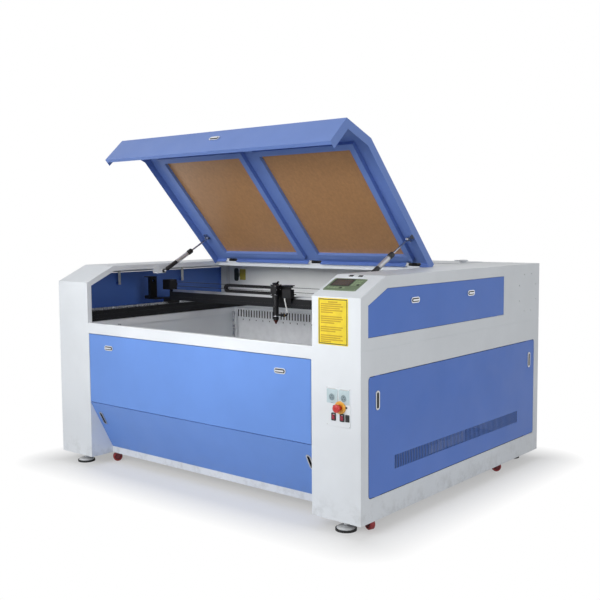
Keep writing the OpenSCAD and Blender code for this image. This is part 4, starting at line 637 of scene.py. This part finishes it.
def control_panel():
    s = Shape("control_panel", "cabinet", ["white", "teal", "teal_dark", "black", "yellow",
              "zinc", "recess"], "control_panel", ["control_plate"], bevel=0.4)
    s.at(FRONT).prism(rounded(786, 904, 425, 579, 5), 0, 3, 0.8)
    # two sockets, each with a ring, three holes, a hinge pin and a finger lip
    for x0, x1 in ((791, 842), (848, 899)):
        mid = (x0 + x1) / 2
        s.at(FRONT).use("teal").prism(rounded(x0, x1, 515, 571, 3), 2.5, 6, 0.8)
        s.at(FRONT @ move(mid, SOCKET_Z, 0)).lathe(
            [(13.4, 5.8), (16.6, 5.8), (16.4, 7.2), (15.6, 7.8), (14.4, 7.8), (13.6, 7.2),
             (13.4, 5.8)], 40)
        s.use("teal_dark").rod(13.5, 5.6, 6.3, 40)
        # the three holes as dark disks: painted shade
        s.use("recess")
        for x, z in ((-4.6, -3), (4.6, -3), (0, 4.6)):
            s.at(FRONT @ move(mid + x, SOCKET_Z + z, 0)).rod(1.7, 6.2, 6.6, 12)
        pin = FRONT @ move(mid, 571.2, 4.6) @ turn(90, "Y")
        s.at(pin).use("zinc").rod(1.9, -17, 17, 12, 0.4)
        s.at(FRONT).use("teal_dark").box(mid - 5, mid + 5, 516.4, 519, 5.9, 6.9, 0.3)
    # the plate's screws, two small round caps and the stop button's collar
    for x in (790.8, 899.2):
        for z in (430, 574):
            s.at(FRONT @ move(x, z, 3)).use("zinc").screw(2.3, "cross")
    for x in (824, 885):
        s.at(FRONT @ move(x, 504, 2.9)).use("black").lathe(
            [(0, 0), (4, 0), (4, 2.2), (3.3, 3), (2, 3), (1.6, 2.5), (0, 2.5)], 24)
    s.at(FRONT @ move(STOP_X, STOP_Z, 3)).use("yellow").lathe(
        [(9.7, 0), (25, 0), (25, 6.2), (24.2, 7.5), (22.5, 8), (12.4, 8), (10.8, 7.2),
         (9.7, 5.6), (9.7, 0)], 56)
    # bezels round the two rockers, and the small socket beside them
    for x in (824, 865):
        s.at(FRONT).use("black").ring(rounded(x - 10.5, x + 10.5, 448, 478, 3),
                                      rounded(x - 6.35, x + 6.35, 451.7, 474.3, 1), 3, 7)
    s.use("black").prism(rounded(880, 899, 449, 477, 2), 2.5, 5.6, 0.5)
    s.ring(rounded(882.6, 896.4, 456, 475, 2), rounded(884.6, 894.4, 458, 473, 1), 5.4, 6.6)
    # the small socket's opening as a dark pane: painted shade
    s.use("recess").prism(rounded(884.7, 894.3, 458.1, 472.9, 1), 5.4, 5.8)
    s.done()

    s = Shape("stop_head", "stop_button", ["red"], "red_plastic", ["stop_button"])
    s.at(FRONT @ move(STOP_X, STOP_Z, 4)).lathe(
        [(0, 5), (9, 5), (9, 17), (11.6, 18), (14.4, 19.6), (15.8, 22), (16.4, 25), (16.4, 28),
         (15.9, 30.6), (14.6, 32.6), (12.4, 33.8), (9.6, 34.4), (5, 34.5), (0, 34.3)], 56)
    s.done()


def controller_face():
    s = Shape("controller_face", "cabinet", ["sage", "lcd", "key", "key_dark", "black", "white",
              "recess", "zinc"], "grey_plastic", ["controller"], bevel=0.35)
    s.at(CONSOLE).use("black").box(741, 882, 58, 136, -34, 0.4)
    # the face, its display, a block of nine keys and a row of six
    s.use("sage").prism(rounded(733, 890, 50, 144, 4), 0, 4, 0.9)
    s.use("key_dark").ring(rounded(745, 841, 80, 138, 3), rounded(750, 836, 85, 133, 1.5), 3.9, 5)
    s.use("lcd").prism(rounded(749.6, 836.4, 84.6, 133.4, 1.4), 3.5, 4.4)
    for i in range(3):
        for j in range(3):
            x, y = 846 + 13 * i, 88 + 15 * j
            s.use("key_dark" if (i, j) == (2, 0) else "key")
            s.prism(rounded(x, x + 10, y, y + 10, 2.2), 3.8, 5.4, 0.6)
    for i in range(6):
        x = 747 + 14.5 * i
        s.use("key_dark" if i == 4 else "key")
        s.prism(rounded(x, x + 11, 62, 72, 2.2), 3.8, 5.4, 0.6)
    # the plate behind it with two flat sockets
    s.use("white").prism(rounded(776, 862, 160, 179, 2), 0, 2, 0.5)
    for x0, x1 in ((784, 804), (830, 850)):
        s.use("black").ring(rounded(x0, x1, 163.5, 175.5, 1.5),
                            rounded(x0 + 2, x1 - 2, 165.5, 173.5, 0.8), 1.8, 3.2)
        # the sockets' openings as dark panes: painted shade
        s.use("recess").prism(rounded(x0 + 2.1, x1 - 2.1, 165.6, 173.4, 0.7), 1.8, 2.3)
        s.use("black").box(x0 + 4, x1 - 4, 168.6, 170.4, 2.2, 2.9)
    for x in (779.8, 858.2):
        s.at(CONSOLE @ move(x, 169.5, 2)).use("zinc").screw(1.7, "cross")
    for x in (737.5, 885.5):
        for y in (54.5, 139.5):
            s.at(CONSOLE @ move(x, y, 3.9)).use("zinc").screw(1.8, "cross")
    s.done()


def plates():
    """Bare plates where the real machine has print: fields of colour and plain bars."""
    s = Shape("front_plate", "cabinet", ["plate_yellow", "key_dark", "mustard"], bevel=0.25)
    s.at(FRONT).prism(rounded(747, 891, 740, 921, 3), 0, 1.2, 0.4)
    s.use("key_dark").ring(rounded(750.5, 887.5, 743.5, 917.5, 2.5),
                           rounded(753.5, 884.5, 746.5, 914.5, 1.5), 1.1, 1.5)
    s.use("mustard")
    # each row's length as a share of the widest; 0 is a gap, and the first row is centred
    rows = (0.38, 0.84, 0.9, 0.78, 0.88, 0.5, 0, 0.86, 0.9, 0.82, 0.56, 0, 0.9, 0.84, 0.6, 0,
            0.88, 0.8, 0.9, 0.42)
    widest, left, middle, top, pitch = 119, 760, 819, 906, 8.1
    for k, share in enumerate(rows):
        if share:
            z = top - pitch * k
            x0 = left if k else middle - widest * share / 2
            s.box(x0, x0 + widest * share, z - 2.5, z + 2.5, 1.1, 1.4)
    s.done()

    wall = facing((0, WALL_Y, 0), (0, -1, 0))
    s = Shape("wall_plates", "cabinet", ["key_dark", "plate_dull", "zinc", "recess"], bevel=0.2)
    s.at(wall).prism(rounded(-884, -848, 867, 945, 13), 0, 1.2, 0.4)
    s.use("plate_dull").prism(rounded(-837, -789, 875, 940, 3), 0, 1.2, 0.4)
    # a dark strip along the joint of the wall's end section: painted shade of the groove there
    s.use("key_dark").box(-930, -928.4, 732, 996, 0, 0.4)
    s.use("zinc")
    for x in (-900, -663, -440, -220, 0, 220, 440, 663, 900):
        s.at(wall @ move(x, 984, 0)).screw(4.4, "cross")
    # a slot and a notch as dark patches: painted shade
    s.use("recess")
    s.at(wall).prism(rounded(-687, -641, 964, 969, 2.4), 0, 0.8, 0.2)
    s.box(-441.5, -438.5, 956, 972, 0, 0.8)
    s.done()


# ---------- gas struts ----------

def sleeve(s, inner, outer, z0, z1, edge):
    """A thin sleeve, its outer edges cut back by edge."""
    s.lathe([(inner, z0), (outer, z0 + edge), (outer, z1 - edge), (inner, z1), (inner, z0)], 40)


def strut_sleeves():
    for side, word in ((-1, "left"), (1, "right")):
        s = Shape(f"strut_sleeve_{word}", f"strut_tube_{word}", ["silver", "black"])
        s.at(strut(side))
        sleeve(s, 11.02, 11.45, 95, 185, 0.4)
        s.use("black")
        sleeve(s, 13.02, 13.5, 196, 219.5, 0.5)
        for z in (99, 181):
            sleeve(s, 11.4, 11.75, z, z + 1.6, 0.2)
        s.done()


# ---------- moving parts inside ----------

CHAIN_START, CHAIN_TURN = 98.0, -332.0   # x of its fixed end, and of its bend
CHAIN_LOW, CHAIN_HIGH, CHAIN_R = 865.0, 895.0, 15.0
CHAIN_Y, CHAIN_PITCH = -167.5, 13.0
LOW_RUN, HALF_TURN, HIGH_RUN = CHAIN_START - CHAIN_TURN, math.pi * CHAIN_R, 357


def chain_point(t):
    """Centre (x, z) and direction along the drag chain, t in mm from its fixed end."""
    if t <= LOW_RUN:
        return (CHAIN_START - t, CHAIN_LOW), 180.0
    if t <= LOW_RUN + HALF_TURN:
        a = (t - LOW_RUN) / CHAIN_R
        return ((CHAIN_TURN - CHAIN_R * math.sin(a),
                 (CHAIN_LOW + CHAIN_HIGH) / 2 - CHAIN_R * math.cos(a)), 180 - math.degrees(a))
    return (CHAIN_TURN + t - LOW_RUN - HALF_TURN, CHAIN_HIGH), 0.0


def drag_chain():
    """The chain link by link, the lines in it, and the tray under its lower run."""
    s = Shape("chain_links", "gantry", ["chain", "black", "white_hose", "zinc"],
              "black_plastic", ["drag_chain"], smooth=30)
    y, total = CHAIN_Y, LOW_RUN + HALF_TURN + HIGH_RUN
    for k in range(int(total / CHAIN_PITCH)):
        (x, z), a = chain_point(k * CHAIN_PITCH + CHAIN_PITCH / 2)
        place = move(x, y, z) @ turn(-a, "Y")
        # every other link is wider, overlaps its neighbours and carries the pins
        wide = 8.9 if k % 2 else 7.3
        plate = [(-4 + 4.5 * math.cos(math.radians(d)) - 2.2,
                  6.9 * math.sin(math.radians(d))) for d in range(90, 271, 15)]
        plate += [(-x1, -z1) for x1, z1 in plate]
        for side in (-1, 1):
            s.at(place @ move(0, side * (wide - 0.8), 0) @ turn(90, "X")).use("chain")
            s.prism(plate, -0.8, 0.8)
            if k % 2:
                s.at(place @ move(-CHAIN_PITCH / 2, side * 8.6, 0) @ turn(-90 * side, "X"))
                s.rod(1.9, -1.5, 0.35, 12)
        s.at(place).box(-3.1, 3.1, 0.2 - wide, wide - 0.2, 5.4, 6.9, 0.3)
        s.box(-3.1, 3.1, 0.2 - wide, wide - 0.2, -6.9, -5.4)
    # the lines in it
    for offset, height, finish in ((-3.4, -1.6, "white_hose"), (0.6, 1.2, "black"),
                                   (4, -1.5, "black")):
        path = []
        for k in range(0, int(total) + 1, 6):
            (x, z), a = chain_point(min(k, total))
            c, d = math.cos(math.radians(a)), math.sin(math.radians(a))
            path.append((x - height * d, y + offset, z + height * c))
        s.at().use(finish).tube(path, 1.9, 10)
    # tray under the lower run, and the plates that hold the chain's ends
    s.at().use("black").box(-572, 98, y - 9, y + 9, 847, 850)
    for side in (-1, 1):
        s.box(-572, 98, y + side * 8.1 - 0.8, y + side * 8.1 + 0.8, 848, 857.4)
    s.use("zinc").box(76, 97.8, y - 7.9, y + 7.9, 850, 858)
    s.done()


def motor_trim():
    """The steel stacks round the gantry motor, with its screws, and round the Y motor."""
    s = Shape("gantry_motor_cap", "gantry", ["stack", "zinc"], bevel=0.4)
    front = facing(GANTRY_MOTOR, (0, -1, 0))
    s.at(front @ move(0, 0, -50)).ring(
        rounded(-26.9, 26.9, -26.9, 26.9, 5), rounded(-24, 24, -24, 24, 4), 12, 38)
    s.use("zinc")
    for x in (-21, 21):
        for z in (-21, 21):
            s.at(front @ move(x, z, -1.6)).screw(2.8, "cross")
    s.done()

    s = Shape("y_motor_stack", "cabinet", ["stack"], bevel=0.3)
    side = facing(Y_MOTOR, (-1, 0, 0))
    s.at(side @ move(0, 0, -44)).ring(rounded(-28.9, 28.9, -28.9, 28.9, 5),
                                      rounded(-26, 26, -26, 26, 4), 0, 32)
    s.done()


def head_trim():
    """Knobs and screws of the laser head, and the fittings of the lens tube."""
    # the mirror's three knobs with their studs
    s = Shape("head_screws", "carriage", ["steel", "black_gloss"])
    for x, y in ((22, -11), (22, 11), (0, 11)):
        s.at(HEAD_PLATE @ move(x, y, 5)).use("black_gloss")
        profile = [(0, 0), (4.3, 0), (4.6, 0.6)]
        for k in range(6):
            profile += [(4.9, 1.2 + 1.7 * k), (4.9, 2.1 + 1.7 * k), (4.55, 2.3 + 1.7 * k),
                        (4.55, 2.7 + 1.7 * k)]
        s.lathe(profile + [(4.5, 11.6), (4.1, 12), (0, 12)], 28)
        s.use("steel").rod(1.5, 11.6, 12.8, 14, 0.3)
    # screws in the head's front and side
    for d in (-13, 13):
        for z in (869, 911):
            s.at(facing((HEAD_X + d, HEAD_Y - 18, z), (0, -1, 0))).screw(2.4, "cap")
        for y in (-13, 13):
            s.at(facing((HEAD_X + 18, HEAD_Y + y, 880 + d), (1, 0, 0))).screw(2.0, "button")
    s.done()

    s = Shape("nozzle_trim", "lens_tube", ["zinc", "black_gloss", "steel", "brass"])
    # the lens tube's locking screw
    s.at(facing((68, -265.5, 811), (0, -1, 0))).lathe(
        [(4.3, -3), (4.3, -0.6), (3.9, -0.1), (2.1, -0.1), (2.1, -1.8), (0, -1.8)], 24)
    # band over the nozzle's joint, then the elbow of the air hose with its nut
    s.at(HEAD).use("steel")
    s.lathe([(13.9, 762.5), (14.15, 763), (14.15, 765.6), (13.9, 766), (13.9, 762.5)], 40)
    s.use("black_gloss").at(NOZZLE)
    elbow = [(58, 0, 44), (64, 0, 44), (68, 0, 45.2), (70.8, 0, 48), (72, 0, 52), (72, 0, 56)]
    s.tube(elbow, 4.2, 16)
    s.use("brass").at(HEAD @ move(0, 0, 771) @ turn(90, "Y")).lathe(
        [(5.1, 56), (6.6, 56.3), (6.6, 59.7), (5.1, 60), (4, 60), (4, 56), (5.1, 56)], 6)
    s.done()


# the air hose's route from the elbow upwards, measured from the nozzle's tip
HOSE = [(72, 0, 54), (71.6, 0.2, 60), (70.2, 0.8, 66), (68, 1.6, 72.5), (65, 2.6, 79.5),
        (61.5, 4, 87), (57.8, 5.6, 95), (54.2, 7.2, 103), (51, 8.8, 110.5), (48.8, 10, 117),
        (47.4, 10.8, 122), (47, 11, 126)]


def smooth_path(points):
    """A Catmull-Rom line through the points, five steps between each pair."""
    steps = 5
    points = [Vector(p) for p in points]
    ends = [2 * points[0] - points[1]] + points + [2 * points[-1] - points[-2]]
    path = []
    for a, b, c, d in zip(ends, ends[1:], ends[2:], ends[3:]):
        for k in range(steps):
            t = k / steps
            path.append(0.5 * (2 * b + (c - a) * t + (2 * a - 5 * b + 4 * c - d) * t * t
                               + (3 * b - a - 3 * c + d) * t ** 3))
    return path + [points[-1]]


def air_hose():
    """From the nozzle's elbow up to the switch block."""
    s = Shape("head_air_hose", None, ["white_hose"], "white_hose", ["air_hose"])
    path = smooth_path(HOSE)
    s.at(NOZZLE).tube(path, 3, 16)
    piece = s.done()
    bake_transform(piece)


def laser_tube():
    """A sealed glass tube with its inner tubes, end caps and terminals."""
    s = Shape("tube_glass", "cabinet", ["glass", "steel", "brass", "discharge"], "glass",
              ["laser_tube"], smooth=50)
    s.at(TUBE_AXIS)

    def shell(r, z0, z1, end_r, wall, n=56):
        """A glass tube with a round shoulder at each end."""
        dome = 0.55 * (r - end_r)
        outer, inner = [], []
        for k in range(9):
            a = math.radians(90 * k / 8)
            outer.append((end_r + (r - end_r) * math.sin(a), z0 + dome * (1 - math.cos(a))))
        other = [(x, z0 + z1 - z) for x, z in reversed(outer)]
        for x, z in outer + other:
            inner.append((max(x - wall, 0.5), z + (wall if z < (z0 + z1) / 2 else -wall)))
        ring = outer + other + inner[::-1]
        s.lathe(ring + ring[:1], n)

    # the outer tube, the water jacket, the bore with a pink rod in it as a painted glow of the
    # discharge, and the gas return
    shell(40, 2, 1448, 19, 2.2)
    shell(27, 60, 1390, 11, 1.8)
    shell(9, 42, 1408, 8, 1.2, 32)
    s.use("discharge").rod(3.2, 60, 1390, 16)
    s.use("glass")
    spiral = [(13.5 * math.cos(math.tau * k / 20), 13.5 * math.sin(math.tau * k / 20),
               1290 + 80 * k / 120) for k in range(121)]
    s.tube(spiral, 2.2, 8)
    # end caps, bands inside them, and the electrodes' terminals
    s.use("steel")
    for z0, z1 in ((-38, 2), (1448, 1488)):
        s.lathe([(0, z0), (16.5, z0), (18, z0 + 1.5), (18, z0 + 12), (16.4, z0 + 13),
                 (16.4, z0 + 15), (18, z0 + 16), (18, z1 - 1), (17, z1), (0, z1)], 40)
        s.lathe([(8, z0), (8, z0 - 0.01), (0, z0 - 0.01)], 20)
    for z0 in (44, 1386):
        s.lathe([(22, z0), (23, z0), (23, z0 + 20), (22, z0 + 20), (22, z0)], 40)
    s.use("brass")
    for z0 in (-14, 1464):
        s.at(TUBE_AXIS @ move(0, 0, z0) @ turn(-90, "Y")).rod(4, 15, 24, 16, 0.6)
    s.done()


paint_nodes()
control_panel()
controller_face()
plates()
strut_sleeves()
drag_chain()
motor_trim()
head_trim()
air_hose()
laser_tube()


# ---------- room, light and camera ----------

OUTLINE = (0.95, 0.77, 0)   # half the machine's width and depth, in metres
FADE = 0.24                 # from its outline to where the floor is as white as the room
FLOOR_GLOW = 0.4            # share of white right at the outline
ROOM_FILL = 0.36
HALF_FLOOR = 40.0
LAMPS = (
    # place, aim, size in metres, watts, spread in degrees
    ("key", (-0.4, -4.7, 2.1), (0, 0, 0.7), (3.0, 1.2), 59, 180),
    ("front", (0.8, -3.9, 2.6), (0, -0.2, 0.7), (2.0, 1.0), 28, 180),
    ("side", (4.6, -1.3, 2.1), (0, 0, 0.7), (2.4, 1.6), 36, 180),
    ("chamber_fill", (0.3, -2.7, 1.35), (-0.1, 0.2, 0.74), (1.5, 0.5), 1.7, 46),
)
CAMERA_AT = (2.888, -3.442, 1.196)
AZIMUTH, PITCH, ROLL = 39.88, -4.68, -0.38   # degrees
SENSOR, FOCAL_PX, IMAGE_PX = 36.0, 885.3, 600
SHIFT = (0.0003, -0.0019)


def floor_material():
    """White floor that keeps the shadow and fades into the white room."""
    f = Finish("floor", (0.74, 0.74, 0.74, 1.0), 0.9)
    f.set("Specular IOR Level", 0.1)
    glow = f.node("Emission", Color=(1, 1, 1, 1), Strength=1.0)
    # how far a point lies outside the machine's own outline
    past = f.place
    for operation, amount in (("ABSOLUTE", None), ("SUBTRACT", OUTLINE),
                              ("MAXIMUM", (0, 0, 0)), ("LENGTH", None)):
        step = f.node("VectorMath", operation=operation)
        f.link(past, step.inputs[0])
        if amount:
            step.inputs[1].default_value = amount
        past = step.outputs["Value" if operation == "LENGTH" else "Vector"]
    fade = f.between(past, 0.0, FADE, FLOOR_GLOW, 1.0)
    ray = f.node("LightPath")
    seen = f.maths("MAXIMUM", ray.outputs["Is Camera Ray"], ray.outputs["Is Glossy Ray"])
    mix = f.node("MixShader")
    f.link(f.maths("MULTIPLY", fade, seen), mix.inputs[0])
    f.link(f.shader.outputs[0], mix.inputs[1])
    f.link(glow.outputs[0], mix.inputs[2])
    f.link(mix.outputs[0], f.out.inputs[0])
    return f.mat


def room():
    """The floor, and a world that is white to the eye and a plain pale fill as light."""
    mesh = bpy.data.meshes.new("floor")
    half = HALF_FLOOR
    mesh.from_pydata([(-half, -half, 0), (half, -half, 0), (half, half, 0), (-half, half, 0)],
                     [], [(0, 1, 2, 3)])
    floor = bpy.data.objects.new("floor", mesh)
    bpy.context.scene.collection.objects.link(floor)
    mesh.materials.append(floor_material())

    world = bpy.data.worlds.new("room")
    bpy.context.scene.world = world
    world.use_nodes = True
    tree = world.node_tree
    tree.nodes.clear()

    def background(colour, strength):
        made = tree.nodes.new("ShaderNodeBackground")
        made.inputs[0].default_value = colour
        made.inputs[1].default_value = strength
        return made.outputs[0]

    def larger(a, b):
        made = tree.nodes.new("ShaderNodeMath")
        made.operation = "MAXIMUM"
        tree.links.new(a, made.inputs[0])
        tree.links.new(b, made.inputs[1])
        return made.outputs[0]

    seen = background((1, 1, 1, 1), 1.0)
    fill = background((0.97, 0.985, 1.0, 1), ROOM_FILL)
    ray = tree.nodes.new("ShaderNodeLightPath").outputs
    direct = larger(larger(ray["Is Camera Ray"], ray["Is Glossy Ray"]),
                    ray["Is Transmission Ray"])
    mix = tree.nodes.new("ShaderNodeMixShader")
    out = tree.nodes.new("ShaderNodeOutputWorld")
    for a, b in ((direct, mix.inputs[0]), (fill, mix.inputs[1]), (seen, mix.inputs[2]),
                 (mix.outputs[0], out.inputs[0])):
        tree.links.new(a, b)


def softbox(name, at, aim, size, watts, spread):
    light = bpy.data.lights.new(name, "AREA")
    light.shape = "RECTANGLE"
    light.size, light.size_y = size
    light.energy = watts
    light.spread = math.radians(spread)
    lamp = bpy.data.objects.new(name, light)
    lamp.location = at
    lamp.visible_camera = False
    lamp.rotation_mode = "QUATERNION"
    lamp.rotation_quaternion = (Vector(aim) - Vector(at)).to_track_quat("-Z", "Y")
    bpy.context.scene.collection.objects.link(lamp)


def camera():
    """The photograph's viewing angle, level apart from a slight roll."""
    azimuth, pitch, roll = (math.radians(a) for a in (AZIMUTH, PITCH, ROLL))
    ahead = Vector((-math.sin(azimuth) * math.cos(pitch), math.cos(azimuth) * math.cos(pitch),
                    math.sin(pitch)))
    level = Vector((math.cos(azimuth), math.sin(azimuth), 0))
    up = level.cross(ahead)
    right = math.cos(roll) * level + math.sin(roll) * up
    top = -math.sin(roll) * level + math.cos(roll) * up
    data = bpy.data.cameras.new("camera")
    data.sensor_width = SENSOR
    data.lens = SENSOR * FOCAL_PX / IMAGE_PX
    data.shift_x, data.shift_y = SHIFT
    cam = bpy.data.objects.new("camera", data)
    cam.matrix_world = move(*CAMERA_AT) @ Matrix((right, top, -ahead)).transposed().to_4x4()
    bpy.context.scene.collection.objects.link(cam)
    bpy.context.scene.camera = cam


room()
for lamp in LAMPS:
    softbox(*lamp)
camera()
bpy.context.scene.view_settings.view_transform = "Standard"
